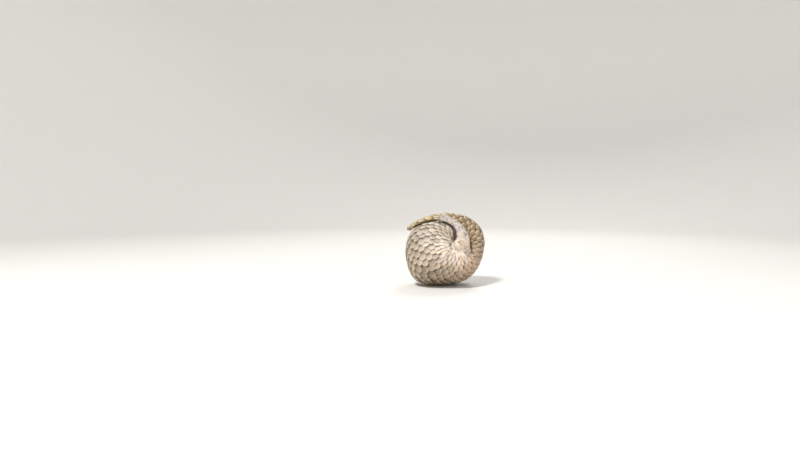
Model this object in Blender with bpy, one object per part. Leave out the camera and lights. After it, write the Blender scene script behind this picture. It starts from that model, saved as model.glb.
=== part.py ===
"""A pangolin rolled into a ball, life size, as a still model that rests on the floor as it is.

The animal is coiled round a roll axis that points at the viewer (-Y) and leans up and to the right. Places on
it are given in the coil's own frame: x to the right and y up across the roll axis, h along it, towards the
viewer. The trunk and the tail are one spiral loft whose sections hold the roll axis: it starts at the shoulders
over the head, runs down the left side, under the ball, up the right side as the tail and over the top to the
tip. Legs, feet, neck and claws are lofts along short routes. Softer pieces give way to harder ones by Booleans
that leave a thin gap.
"""

import math
from collections import namedtuple

import bmesh
import bpy
from mathutils import Matrix, Vector

# Everything below is in millimetres and degrees, in the coil's frame, until a mesh is placed
MM = 0.001
GAP = 0.3
LEAN_UP = 17.5
LEAN_RIGHT = 6.0
AXIS_RIGHT_OF_ORIGIN = 15.0
AXIS_BEHIND_ORIGIN = 6.7
AXIS_HEIGHT = 78.5

# How finely the lofts are cut
BODY_STEP = 11.0
BODY_SIDES = 22
TAIL_SIDES = 14
LIMB_SIDES = 10
LIMB_RINGS = 2
HEAD_SIDES = 14
CLAW_SIDES = 6
FLAT_ANGLE = 0.5

OUTER_FULLNESS = 2.1
NEAR_FULLNESS = 3.4
FAR_FULLNESS = 2.4
END_ROUNDNESS = 0.7

# The spiral's sections: the angle round the roll axis, counter-clockwise as the viewer sees it; the radii of
# the back, of the belly and of the widest place between them; and how far the near and far flanks reach
Station = namedtuple("Station", "angle back belly widest near far")
SPIRAL = (
    Station(75, 44, 6, 25, 38, 30),
    Station(95, 54, 5, 26, 50, 44),
    Station(115, 68, 5, 30, 60, 55),
    Station(140, 88, 6, 37, 66, 62),
    Station(152, 98.5, 7, 41, 69, 65),
    Station(166, 104, 7, 43, 70, 66),
    Station(195, 106.5, 8, 47, 72, 68),
    Station(218, 108, 8, 47, 72, 68),
    Station(240, 91, 8, 44, 70, 66),
    Station(262, 80, 7, 42, 69, 64),
    Station(290, 76, 7, 41, 66, 59),
    Station(315, 73, 14, 42, 59, 51),
    Station(335, 71, 28, 45, 48, 43),
    Station(355, 72, 34, 48, 42, 39),
    Station(375, 78, 36, 53, 39, 37),
    Station(400, 85, 39, 58, 37, 35),
    Station(430, 86, 46, 62, 33, 32),
    Station(455, 87, 56, 67, 29, 30),
    Station(475, 91.5, 68, 77, 26, 27),
    Station(495, 100, 84, 91, 22, 23),
    Station(506, 108.5, 95, 100.5, 18, 19),
    Station(513, 113.5, 102, 107, 13, 13.5),
)

# The lengths that the spiral is parted into, from the shoulders to the tip of the tail
TRUNK_LENGTHS = (("trunk_shoulders", 75, 150), ("trunk_middle", 150, 240), ("trunk_rump", 240, 325))
TAIL_LENGTHS = (
    ("tail_base", 325, 385),
    ("tail_middle", 385, 440),
    ("tail_upper", 440, 487),
    ("tail_end", 487, 513),
)

# A limb's route: the centre, the half width across the route and the half depth along the roll axis
Point = namedtuple("Point", "x y h across deep")
HIND_LEG_RIGHT = (
    Point(16, -46, 28, 24, 20),
    Point(10, -25, 39, 25, 23),
    Point(9.5, -5, 43.5, 25, 20.5),
    Point(14.5, 14, 43.5, 18.5, 18.5),
    Point(10.5, 32, 42, 14.5, 15),
    Point(3, 46, 41, 12, 12),
)
HIND_FOOT_RIGHT = (Point(3, 45, 41, 11, 10), Point(-12, 56, 40, 11.5, 9), Point(-27, 62, 39, 11, 7.5))
HIND_LEG_LEFT = (
    Point(28, -48, -28, 21, 20),
    Point(38, -28, -42, 19, 18),
    Point(42, -8, -48, 15, 15),
    Point(41, 10, -50, 12.5, 12),
    Point(36, 25, -50, 11, 10),
)
HIND_FOOT_LEFT = (Point(36, 24, -50, 10, 9), Point(30, 38, -49, 10.5, 8), Point(20, 49, -46, 10, 7))
FORELEG_RIGHT = (Point(-22, 30, 24, 12, 12), Point(-15, 16, 26, 11, 10), Point(-9, 2, 24, 9.5, 9))
FOREFOOT_RIGHT = (Point(-9, 3, 24, 9, 8), Point(-6, -8, 18, 9, 6.5), Point(-3, -16, 12, 8.5, 5))
FORELEG_LEFT = (Point(-24, 30, -34, 12, 12), Point(-19, 16, -44, 11, 10), Point(-13, 2, -50, 9.5, 9))
FOREFOOT_LEFT = (Point(-13, 3, -50, 9, 8), Point(-9, -9, -54, 9.5, 7), Point(-5, -19, -57, 9, 5.5))
NECK = (Point(-8, 28, -4, 19, 23), Point(0, 29, -13, 18.5, 20), Point(6, 22, -24, 16.5, 17))

# Claws: how long the middle one is, how thick at its root, and how each toe's length compares with it
HIND_CLAW = 13.0
FORE_CLAW = 20.0
HIND_CLAW_ROOT = 2.3
FORE_CLAW_ROOT = 2.8
TOE_LENGTHS = (0.62, 0.88, 1.0, 0.88, 0.6)
CLAW_ROOT_DEPTH = 6.0

# The head, from the back of the skull to the tip of the snout
HEAD_BACK = (3, 33, -27)
HEAD_TIP = (15, -33, -53)
Profile = namedtuple("Profile", "along crown jaw side")
HEAD_PROFILE = (
    Profile(0.00, 13.5, 11.0, 14.0),
    Profile(0.15, 17.0, 13.5, 17.5),
    Profile(0.32, 17.5, 14.0, 18.0),
    Profile(0.48, 15.0, 12.5, 15.5),
    Profile(0.66, 11.0, 9.5, 11.0),
    Profile(0.84, 8.6, 7.0, 8.6),
    Profile(0.96, 7.2, 5.4, 7.2),
    Profile(1.00, 5.2, 3.8, 5.2),
)
EYE_ALONG = 0.52
EYE_RAISED = 1.5
EYE_RADIUS = 3.6
EAR_ALONG = 0.17
EAR_HEIGHT = 12.0
EAR_THICKNESS = 2.6

# Colours and finish of each kind of piece
SCALE_TAN = (0.42, 0.33, 0.23)
SCALE_GREY = (0.40, 0.35, 0.29)
SKIN_PINK = (0.55, 0.40, 0.33)
CLAW_HORN = (0.62, 0.55, 0.42)
EYE_BLACK = (0.01, 0.008, 0.007)


def coil_matrix():
    """Places the coil's frame, in millimetres, in the world, in metres."""
    up = math.radians(LEAN_UP)
    right = math.radians(LEAN_RIGHT)
    axis = Vector((math.sin(right), -math.cos(right) * math.cos(up), math.cos(right) * math.sin(up)))
    across = (Vector((1, 0, 0)) - axis * axis.x).normalized()
    turn = Matrix((across, axis.cross(across), axis)).transposed().to_4x4()
    place = Vector((AXIS_RIGHT_OF_ORIGIN, AXIS_BEHIND_ORIGIN, AXIS_HEIGHT))
    return Matrix.Scale(MM, 4) @ Matrix.Translation(place) @ turn


COIL = coil_matrix()


def smooth_between(rows, where):
    """Reads rows at a place in their first column, with a smooth curve through each other column."""
    last = len(rows) - 1
    i = min(max(sum(row[0] <= where for row in rows) - 1, 0), last - 1)
    span = rows[i + 1][0] - rows[i][0]
    t = (where - rows[i][0]) / span
    found = [where]
    for column in range(1, len(rows[0])):
        start, end = rows[i][column], rows[i + 1][column]
        before, after = rows[max(i - 1, 0)], rows[min(i + 2, last)]
        slope_in = (end - before[column]) / (rows[i + 1][0] - before[0]) * span
        slope_out = (after[column] - start) / (after[0] - rows[i][0]) * span
        bend_in = slope_in - (end - start)
        bend_out = (end - start) - slope_out
        found.append(start + (end - start) * t + t * (1 - t) * ((1 - t) * bend_in + t * bend_out))
    return type(rows[0])(*found)


def signed_power(value, power):
    return math.copysign(abs(value) ** power, value)


def spiral_ring(angle, sides, shift=0.0):
    """One section of the spiral; shift moves it along the spiral, square to the section."""
    station = smooth_between(SPIRAL, angle)
    turn = math.radians(angle)
    out = Vector((math.cos(turn), math.sin(turn), 0))
    along = Vector((-math.sin(turn), math.cos(turn), 0))
    ring = []
    for k in range(sides):
        around = 2 * math.pi * k / sides
        is_near = math.sin(around) >= 0
        flank = station.near if is_near else station.far
        if math.cos(around) >= 0:
            reach, power = station.back - station.widest, 2 / OUTER_FULLNESS
        else:
            reach, power = station.widest - station.belly, 2 / (NEAR_FULLNESS if is_near else FAR_FULLNESS)
        radius = station.widest + reach * signed_power(math.cos(around), power)
        height = flank * signed_power(math.sin(around), power)
        ring.append(out * radius + along * shift + Vector((0, 0, height)))
    return ring


def spiral_rings(start, end, sides, closed_tip=False):
    """The sections of one length of the spiral, half a gap short of its neighbour at each parting."""
    count = max(2, round((end - start) / BODY_STEP))
    rings = []
    for k in range(count + 1):
        angle = start + (end - start) * k / count
        shift = GAP / 2 * ((k == 0) - (k == count))
        rings.append(spiral_ring(angle, sides, shift))
    if closed_tip:
        rings += rounded_end(rings[-1], rings[-2], 7.0)
    return rings


def middle(ring):
    return sum(ring, Vector()) / len(ring)


def rounded_end(ring, ring_before, reach):
    """Two more rings that close a loft with a round end of the given reach."""
    centre = middle(ring)
    onward = (centre - middle(ring_before)).normalized()
    ends = []
    for turn in (38, 70):
        wide, far = math.cos(math.radians(turn)), math.sin(math.radians(turn))
        ends.append([centre + (point - centre) * wide + onward * reach * far for point in ring])
    return ends


def route_rings(route, rings_per_span=LIMB_RINGS, sides=LIMB_SIDES):
    """Sections along a limb's route, square to it, with a round end at both ends."""
    rows = [(float(k),) + tuple(point) for k, point in enumerate(route)]
    row_type = namedtuple("Row", "at x y h across deep")
    rows = [row_type(*row) for row in rows]
    count = (len(route) - 1) * rings_per_span
    stops = [smooth_between(rows, (len(route) - 1) * k / count) for k in range(count + 1)]
    places = [Vector((stop.x, stop.y, stop.h)) for stop in stops]
    rings = []
    for k, stop in enumerate(stops):
        onward = (places[min(k + 1, count)] - places[max(k - 1, 0)]).normalized()
        deep = (Vector((0, 0, 1)) - onward * onward.z).normalized()
        across = onward.cross(deep)
        ring = []
        for side in range(sides):
            around = 2 * math.pi * side / sides
            ring.append(
                places[k] + across * (stop.across * math.cos(around)) + deep * (stop.deep * math.sin(around))
            )
        rings.append(ring)
    first = rounded_end(rings[0], rings[1], route[0].deep * END_ROUNDNESS)
    last = rounded_end(rings[-1], rings[-2], route[-1].deep * END_ROUNDNESS)
    return first[::-1] + rings + last


def head_axes():
    """The head's back, its direction, the way to its crown and the way to its left side."""
    back, tip = Vector(HEAD_BACK), Vector(HEAD_TIP)
    onward = (tip - back).normalized()
    crown = Vector((1, 0.45, 0))
    crown = (crown - onward * crown.dot(onward)).normalized()
    return back, onward, crown, crown.cross(onward).normalized()


def head_length():
    return (Vector(HEAD_TIP) - Vector(HEAD_BACK)).length


def head_point(along, raised, aside):
    """A place in the head: along from its back as a share, raised to the crown, aside to its left."""
    back, onward, crown, left = head_axes()
    return back + onward * along * head_length() + crown * raised + left * aside


def head_rings():
    stops = [0, 0.08, 0.16, 0.26, 0.36, 0.46, 0.56, 0.66, 0.76, 0.86, 0.95, 1]
    rings = []
    for stop in stops:
        size = smooth_between(HEAD_PROFILE, stop)
        ring = []
        for side in range(HEAD_SIDES):
            around = 2 * math.pi * side / HEAD_SIDES
            tall = size.crown if math.sin(around) > 0 else size.jaw
            ring.append(head_point(stop, tall * math.sin(around), size.side * math.cos(around)))
        rings.append(ring)
    return rounded_end(rings[0], rings[1], 8.0)[::-1] + rings + rounded_end(rings[-1], rings[-2], 1.2)


def ear_rings(left_side):
    """A low upright flap behind the eye, thin from front to back."""
    sign = 1 if left_side else -1
    size = smooth_between(HEAD_PROFILE, EAR_ALONG)
    root = head_point(EAR_ALONG, 0, sign * (size.side - 2.5))
    _, onward, crown, left = head_axes()
    outward = (left * sign - onward * 0.5 + crown * 0.15).normalized()
    flat = crown
    thin = outward.cross(flat).normalized()
    rings = []
    for share, wide in ((0, 0.8), (0.35, 1.0), (0.7, 0.8), (0.9, 0.5), (1.0, 0.2)):
        ring = []
        for side in range(12):
            around = 2 * math.pi * side / 12
            ring.append(
                root
                + outward * EAR_HEIGHT * share * 0.55
                + flat * (EAR_HEIGHT / 2 * wide * math.cos(around))
                + thin * (EAR_THICKNESS / 2 * max(wide, 0.5) * math.sin(around))
            )
        rings.append(ring)
    return rings


def claw_rings(root, onward, hook, length, thick):
    """A tapering claw that leaves its root along onward and bends towards hook."""
    onward, hook = onward.normalized(), hook.normalized()
    side = onward.cross(hook).normalized()
    start = root - onward * CLAW_ROOT_DEPTH
    rings = []
    for share in (0, 0.4, 0.75, 1.0):
        bend = 1.1 * share
        place = start + onward * (length + CLAW_ROOT_DEPTH) * math.sin(bend) / 1.1
        place = place + hook * (length + CLAW_ROOT_DEPTH) * (1 - math.cos(bend)) / 1.1
        heading = onward * math.cos(bend) + hook * math.sin(bend)
        tall = hook * math.cos(bend) - onward * math.sin(bend)
        size = thick * (1 - share) ** 0.7 + 0.35
        ring = []
        for k in range(CLAW_SIDES):
            around = 2 * math.pi * k / CLAW_SIDES
            ring.append(place + side * size * 0.8 * math.cos(around) + tall * size * math.sin(around))
        rings.append(ring)
    rings.append([point + heading * 0.3 for point in rings[-1]])
    return rings


def loft(name, rings):
    """A closed mesh object through rings of equal count, with fan caps, its faces pointing out."""
    shape = bmesh.new()
    rows = [[shape.verts.new(point) for point in ring] for ring in rings]
    for row, following in zip(rows, rows[1:]):
        for k in range(len(row)):
            after = (k + 1) % len(row)
            shape.faces.new((row[k], row[after], following[after], following[k]))
    for row, ring in ((rows[0], rings[0]), (rows[-1], rings[-1])):
        centre = shape.verts.new(middle(ring))
        for k in range(len(row)):
            shape.faces.new((row[k], row[(k + 1) % len(row)], centre))
    bmesh.ops.recalc_face_normals(shape, faces=shape.faces)
    bmesh.ops.triangulate(shape, faces=shape.faces)
    return object_from(name, shape)


def object_from(name, shape):
    mesh = bpy.data.meshes.new(name)
    shape.to_mesh(mesh)
    shape.free()
    mesh.shade_smooth()
    thing = bpy.data.objects.new(name, mesh)
    bpy.context.scene.collection.objects.link(thing)
    return thing


def ball(name, centre, radius):
    shape = bmesh.new()
    bmesh.ops.create_icosphere(shape, subdivisions=2, radius=radius, matrix=Matrix.Translation(centre))
    return object_from(name, shape)


def swollen(thing, by):
    """A hidden cutter: the same shape grown by a little, as a guide that is no part of the model."""
    shape = bmesh.new()
    shape.from_mesh(thing.data)
    shape.normal_update()
    moves = [vertex.normal * by for vertex in shape.verts]
    for vertex, move in zip(shape.verts, moves):
        vertex.co += move
    cutter = object_from(thing.name + "_cutter", shape)
    cutter.hide_render = True
    cutter.display_type = "WIRE"
    return cutter


def cut_away(thing, cutters):
    """Takes the cutters off a piece, and keeps the largest body that is left."""
    for cutter in cutters:
        cut = thing.modifiers.new(cutter.name, "BOOLEAN")
        cut.operation = "DIFFERENCE"
        cut.solver = "EXACT"
        cut.object = cutter
    graph = bpy.context.evaluated_depsgraph_get()
    mesh = bpy.data.meshes.new_from_object(thing.evaluated_get(graph))
    thing.modifiers.clear()
    thing.data = mesh
    keep_largest(thing)


def keep_largest(thing):
    shape = bmesh.new()
    shape.from_mesh(thing.data)
    flat = math.radians(FLAT_ANGLE)
    bmesh.ops.dissolve_limit(shape, angle_limit=flat, verts=shape.verts, edges=shape.edges)
    bmesh.ops.triangulate(shape, faces=shape.faces)
    unseen = set(shape.verts)
    bodies = []
    while unseen:
        body, front = set(), [next(iter(unseen))]
        while front:
            vertex = front.pop()
            if vertex in body:
                continue
            body.add(vertex)
            front += [edge.other_vert(vertex) for edge in vertex.link_edges]
        unseen -= body
        bodies.append(body)
    largest = max(bodies, key=len)
    spare = [vertex for vertex in shape.verts if vertex not in largest]
    bmesh.ops.delete(shape, geom=spare, context="VERTS")
    shape.to_mesh(thing.data)
    shape.free()
    thing.data.shade_smooth()


def toe_claws(name, route, length, thick, hook):
    """Five claws across the end of a foot, the middle one the longest."""
    end, before = route[-1], route[-2]
    tip = Vector((end.x, end.y, end.h))
    onward = (tip - Vector((before.x, before.y, before.h))).normalized()
    deep = (Vector((0, 0, 1)) - onward * onward.z).normalized()
    across = onward.cross(deep)
    claws = []
    for k, share in enumerate(TOE_LENGTHS):
        aside = (k - 2) / 2
        spread = onward + across * aside * 0.28
        root = tip + across * end.across * 0.78 * aside + onward * end.deep * (1 - 0.45 * aside * aside)
        rings = claw_rings(root, spread, Vector(hook), length * share, thick)
        claws.append(loft(f"{name}_{k + 1}", rings))
    return claws


def build_spiral():
    trunk = [loft(name, spiral_rings(start, end, BODY_SIDES)) for name, start, end in TRUNK_LENGTHS]
    tail = []
    for name, start, end in TAIL_LENGTHS:
        is_tip = end == TAIL_LENGTHS[-1][2]
        tail.append(loft(name, spiral_rings(start, end, TAIL_SIDES, closed_tip=is_tip)))
    return trunk, tail


def build_head():
    head = loft("head", head_rings())
    side = smooth_between(HEAD_PROFILE, EYE_ALONG).side
    eyes = [
        ball("eye_left", head_point(EYE_ALONG, EYE_RAISED, side - EYE_RADIUS * 0.45), EYE_RADIUS),
        ball("eye_right", head_point(EYE_ALONG, EYE_RAISED, EYE_RADIUS * 0.45 - side), EYE_RADIUS),
    ]
    ears = [loft("ear_left", ear_rings(True)), loft("ear_right", ear_rings(False))]
    return head, eyes, ears


def build_limbs():
    """The legs, then the feet, then the claws, as lists."""
    legs = [
        loft("hind_leg_right", route_rings(HIND_LEG_RIGHT)),
        loft("hind_leg_left", route_rings(HIND_LEG_LEFT)),
        loft("foreleg_right", route_rings(FORELEG_RIGHT)),
        loft("foreleg_left", route_rings(FORELEG_LEFT)),
    ]
    feet = [
        loft("hind_foot_right", route_rings(HIND_FOOT_RIGHT)),
        loft("hind_foot_left", route_rings(HIND_FOOT_LEFT)),
        loft("forefoot_right", route_rings(FOREFOOT_RIGHT)),
        loft("forefoot_left", route_rings(FOREFOOT_LEFT)),
    ]
    claws = toe_claws("hind_claw_right", HIND_FOOT_RIGHT, HIND_CLAW, HIND_CLAW_ROOT, (0, 0, -1))
    claws += toe_claws("hind_claw_left", HIND_FOOT_LEFT, HIND_CLAW, HIND_CLAW_ROOT, (0, 0, 1))
    claws += toe_claws("fore_claw_right", FOREFOOT_RIGHT, FORE_CLAW, FORE_CLAW_ROOT, (0, 0, -1))
    claws += toe_claws("fore_claw_left", FOREFOOT_LEFT, FORE_CLAW, FORE_CLAW_ROOT, (0, 0, 1))
    return legs, feet, claws


def fit_together(ranks):
    """Cuts each piece by all pieces of the ranks before its own, and by those before it in its rank."""
    cutters = []
    for rank in ranks:
        for thing in rank:
            cutter = swollen(thing, GAP)
            if cutters:
                cut_away(thing, cutters)
            cutters.append(cutter)


def cut_floor_flat(things):
    """The flat that the ball rests on, level in the world."""
    floor = bmesh.new()
    bmesh.ops.create_cube(floor, size=1.0, matrix=Matrix.Translation((0, 0, -0.5)))
    cutter = object_from("floor_cutter", floor)
    cutter.hide_render = True
    cutter.display_type = "WIRE"
    for thing in things:
        cut_away(thing, [cutter])


def paint(things, name, colour, roughness):
    """Gives each piece its own material of this colour."""
    for thing in things:
        finish = bpy.data.materials.new(f"{name}_{thing.name}")
        finish.use_nodes = True
        shader = finish.node_tree.nodes["Principled BSDF"]
        shader.inputs["Base Color"].default_value = (*colour, 1)
        shader.inputs["Roughness"].default_value = roughness
        shader.inputs["Metallic"].default_value = 0.0
        thing.data.materials.clear()
        thing.data.materials.append(finish)


def main():
    for thing in list(bpy.data.objects):
        bpy.data.objects.remove(thing)
    trunk, tail = build_spiral()
    head, eyes, ears = build_head()
    neck = loft("neck", route_rings(NECK))
    legs, feet, claws = build_limbs()
    fit_together((eyes + claws, ears, [head], feet, legs, tail, trunk, [neck]))
    solids = trunk + tail + [head, neck] + eyes + ears + legs + feet + claws
    for thing in solids:
        thing.data.transform(COIL)
    cut_floor_flat(trunk)
    paint(trunk + tail, "scales", SCALE_TAN, 0.55)
    paint([head, neck] + legs + feet, "small_scales", SCALE_GREY, 0.6)
    paint(ears, "skin", SKIN_PINK, 0.65)
    paint(claws, "claw", CLAW_HORN, 0.4)
    paint(eyes, "eye", EYE_BLACK, 0.08)


main()
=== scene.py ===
"""Looks of a pangolin rolled into a ball: one skin, a coat of horny scales, claws, eyes and a plain studio.

Shapes are worked out in millimetres in the coil's frame: x to the right and y up across the roll axis, h
along it towards the viewer. Every piece is then placed in the world, in metres, by Coil. The skin lies
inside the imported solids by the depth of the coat, and the scales fill the rest.
"""

import logging
import math
from dataclasses import dataclass, field
from enum import Enum

import bmesh
import bpy
import numpy as np
from mathutils import Matrix, Vector, kdtree
from mathutils.bvhtree import BVHTree

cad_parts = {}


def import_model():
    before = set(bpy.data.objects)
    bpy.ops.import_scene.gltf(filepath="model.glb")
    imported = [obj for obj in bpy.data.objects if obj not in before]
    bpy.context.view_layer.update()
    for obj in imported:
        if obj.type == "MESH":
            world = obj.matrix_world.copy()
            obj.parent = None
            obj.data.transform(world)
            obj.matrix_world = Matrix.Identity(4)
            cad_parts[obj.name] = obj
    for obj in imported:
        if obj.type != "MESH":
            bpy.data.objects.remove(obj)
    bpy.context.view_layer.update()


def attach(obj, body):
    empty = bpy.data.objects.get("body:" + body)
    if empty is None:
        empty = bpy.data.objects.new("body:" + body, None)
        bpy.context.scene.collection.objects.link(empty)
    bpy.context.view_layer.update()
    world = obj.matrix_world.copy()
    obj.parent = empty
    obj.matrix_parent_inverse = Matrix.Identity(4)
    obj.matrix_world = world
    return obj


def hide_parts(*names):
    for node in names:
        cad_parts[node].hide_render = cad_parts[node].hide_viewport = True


LOG = logging.getLogger("pangolin")
MM = 0.001
CAP_TURNS = np.radians((15, 30, 45, 60, 75))
BLUR_SHARE = 0.6
Colour = tuple[float, float, float]


class Side(Enum):
    """The animal's two flanks: the right one faces the viewer."""

    RIGHT = 1
    LEFT = -1


class Slot(Enum):
    """Material slots for the pieces."""

    SCALES = "scales"
    SMALL_SCALES = "small_scales"
    SKIN = "skin"
    CLAW = "claw"
    EYE = "eye"


@dataclass(frozen=True)
class Coil:
    """Where the coiled animal lies: its roll axis, how that leans, and the floor under it."""

    lean_up: float = 17.5
    lean_right: float = 6.0
    right_of_origin: float = 15.0
    behind_origin: float = 6.7
    height: float = 78.5
    press_height: float = 3.4
    press_rest: float = 0.3

    def turn(self) -> np.ndarray:
        """The coil frame's three axes in the world, as columns."""
        up, right = math.radians(self.lean_up), math.radians(self.lean_right)
        axis = Vector((math.sin(right), -math.cos(right) * math.cos(up), math.cos(right) * math.sin(up)))
        across = (Vector((1, 0, 0)) - axis * axis.x).normalized()
        return np.array(Matrix((across, axis.cross(across), axis)).transposed())

    def to_world(self, points: np.ndarray) -> np.ndarray:
        """Places points in the world and presses flat what the floor would flatten.

        Args:
            points: places in the coil's frame, in millimetres.

        Returns:
            The same places in the world, in metres, none of them under the floor.
        """
        place = np.array((self.right_of_origin, self.behind_origin, self.height))
        world = points @ self.turn().T + place
        low = world[:, 2] < self.press_height
        sunk = (world[low, 2] - self.press_height) / self.press_height
        world[low, 2] = self.press_height * np.exp(sunk) - self.press_rest
        world[:, 2] = np.maximum(world[:, 2], 0.0)
        return world * MM


COIL = Coil()


def smooth_rows(rows: np.ndarray, where: np.ndarray) -> np.ndarray:
    """Reads a table at places in its first column, with a smooth curve through each other column.

    Args:
        rows: the table, its first column rising.
        where: places to read it at.

    Returns:
        One row for each place.
    """
    last = len(rows) - 1
    i = np.clip(np.searchsorted(rows[:, 0], where, side="right") - 1, 0, last - 1)
    before, after = np.maximum(i - 1, 0), np.minimum(i + 2, last)
    start, end = rows[i], rows[i + 1]
    span = (end[:, 0] - start[:, 0])[:, None]
    t = (where[:, None] - start[:, :1]) / span
    bend_in = (end - rows[before]) / (end[:, :1] - rows[before, :1]) * span - (end - start)
    bend_out = (end - start) - (rows[after] - start) / (rows[after, :1] - start[:, :1]) * span
    found = start + (end - start) * t + t * (1 - t) * ((1 - t) * bend_in + t * bend_out)
    found[:, 0] = where
    return found


def signed_power(values: np.ndarray, power: np.ndarray) -> np.ndarray:
    """Raises the size of each value to a power and keeps its sign."""
    return np.sign(values) * np.abs(values) ** power


def unit(vectors: np.ndarray) -> np.ndarray:
    """Scales vectors to a length of one."""
    return vectors / np.maximum(np.linalg.norm(vectors, axis=-1, keepdims=True), 1e-9)


def along_line(line: np.ndarray, shares: np.ndarray) -> np.ndarray:
    """The points at given shares of the length of a line of points."""
    steps = np.linalg.norm(np.diff(line, axis=0), axis=1)
    reach = np.concatenate([[0], np.cumsum(steps)])
    return np.stack([np.interp(shares * reach[-1], reach, column) for column in line.T], 1)


def smoothstep(low: float, high: float, values: np.ndarray) -> np.ndarray:
    """Rises smoothly from 0 at low to 1 at high."""
    t = np.clip((values - low) / (high - low), 0, 1)
    return t * t * (3 - 2 * t)


@dataclass
class Hide:
    """A body part's surface as an even grid, read at any place along it and around it.

    Along runs from 0 to 1. Around runs from -1 to 1, evenly by girth, is 0 at the middle of the back or of
    the outer side, and meets itself at both ends.
    """

    grid: np.ndarray
    normals: np.ndarray

    @classmethod
    def from_rings(cls, rings: np.ndarray, around: int) -> "Hide":
        """Makes the grid from rings whose first and last points meet on the inner side.

        Args:
            rings: an array of rings of points, with the outer side in the middle of each.
            around: how many steps the grid has round each ring.

        Returns:
            The surface.
        """
        middle, half = rings.shape[1] // 2, around // 2
        shares = np.linspace(0, 1, half + 1)
        grid = np.empty((len(rings), around + 1, 3))
        for k, ring in enumerate(rings):
            grid[k, half:] = along_line(ring[middle:], shares)
            grid[k, half::-1] = along_line(ring[middle::-1], shares)
        along_way = np.gradient(grid, axis=0)
        wrapped = np.concatenate([grid[:, -2:-1], grid, grid[:, 1:2]], axis=1)
        around_way = wrapped[:, 2:] - wrapped[:, :-2]
        normals = unit(np.cross(around_way, along_way))
        centre = grid.mean(axis=1, keepdims=True)
        outward = np.sign((normals * (grid - centre)).sum())
        return cls(grid, normals * outward)

    def read(self, along: np.ndarray, around: np.ndarray) -> tuple[np.ndarray, np.ndarray]:
        """Reads the surface.

        Args:
            along: places from 0 to 1.
            around: places from -1 to 1; places beyond those wrap round.

        Returns:
            The points and their outward normals.
        """
        rows, columns = self.grid.shape[0] - 1, self.grid.shape[1] - 1
        a = np.clip(along, 0, 1) * rows
        q = ((around + 1) / 2 % 1.0) * columns
        i, k = np.minimum(a.astype(int), rows - 1), np.minimum(q.astype(int), columns - 1)
        fa, fq = (a - i)[..., None], (q - k)[..., None]
        found = []
        for table in (self.grid, self.normals):
            near = table[i, k] * (1 - fq) + table[i, k + 1] * fq
            far = table[i + 1, k] * (1 - fq) + table[i + 1, k + 1] * fq
            found.append(near * (1 - fa) + far * fa)
        return found[0], unit(found[1])

    def pitch(self, along: np.ndarray, around: np.ndarray) -> tuple[np.ndarray, np.ndarray]:
        """How many millimetres one unit along, and one unit around, measure at each place.

        Args:
            along: places along.
            around: places around.

        Returns:
            The two measures.
        """
        step = 0.01
        ahead = self.read(np.clip(along + step, 0, 1), around)[0]
        behind = self.read(np.clip(along - step, 0, 1), around)[0]
        reach = np.clip(along + step, 0, 1) - np.clip(along - step, 0, 1)
        left, right = self.read(along, around - step)[0], self.read(along, around + step)[0]
        lengthways = np.linalg.norm(ahead - behind, axis=-1) / reach
        return lengthways, np.linalg.norm(right - left, axis=-1) / (2 * step)


def closed_loft(name: str, rings: np.ndarray) -> bpy.types.Object:
    """Makes a closed mesh through rings of points.

    Args:
        name: the object's name.
        rings: an array of rings, each open: its last point is not its first.

    Returns:
        The object, in the coil's frame.
    """
    count, sides = rings.shape[:2]
    points = np.concatenate([rings.reshape(-1, 3), rings[:1].mean(1), rings[-1:].mean(1)])
    faces = []
    for i in range(count - 1):
        for k in range(sides):
            n = (k + 1) % sides
            faces.append((i * sides + k, i * sides + n, (i + 1) * sides + n, (i + 1) * sides + k))
    last = (count - 1) * sides
    for k in range(sides):
        n = (k + 1) % sides
        faces.append((n, k, count * sides))
        faces.append((last + k, last + n, count * sides + 1))
    mesh = bpy.data.meshes.new(name)
    mesh.from_pydata(points.tolist(), [], faces)
    shape = bmesh.new()
    shape.from_mesh(mesh)
    bmesh.ops.recalc_face_normals(shape, faces=shape.faces)
    shape.to_mesh(mesh)
    shape.free()
    thing = bpy.data.objects.new(name, mesh)
    bpy.context.scene.collection.objects.link(thing)
    return thing


def round_off(ring: np.ndarray, before: np.ndarray, reach: float) -> np.ndarray:
    """More rings that close a loft with a round end.

    Args:
        ring: the last ring.
        before: the ring before it.
        reach: how far the end bulges.

    Returns:
        The further rings, smaller and smaller.
    """
    centre = ring.mean(0)
    onward = unit(centre - before.mean(0))
    return np.stack([
        centre + (ring - centre) * math.cos(turn) + onward * reach * math.sin(turn) for turn in CAP_TURNS
    ])


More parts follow.
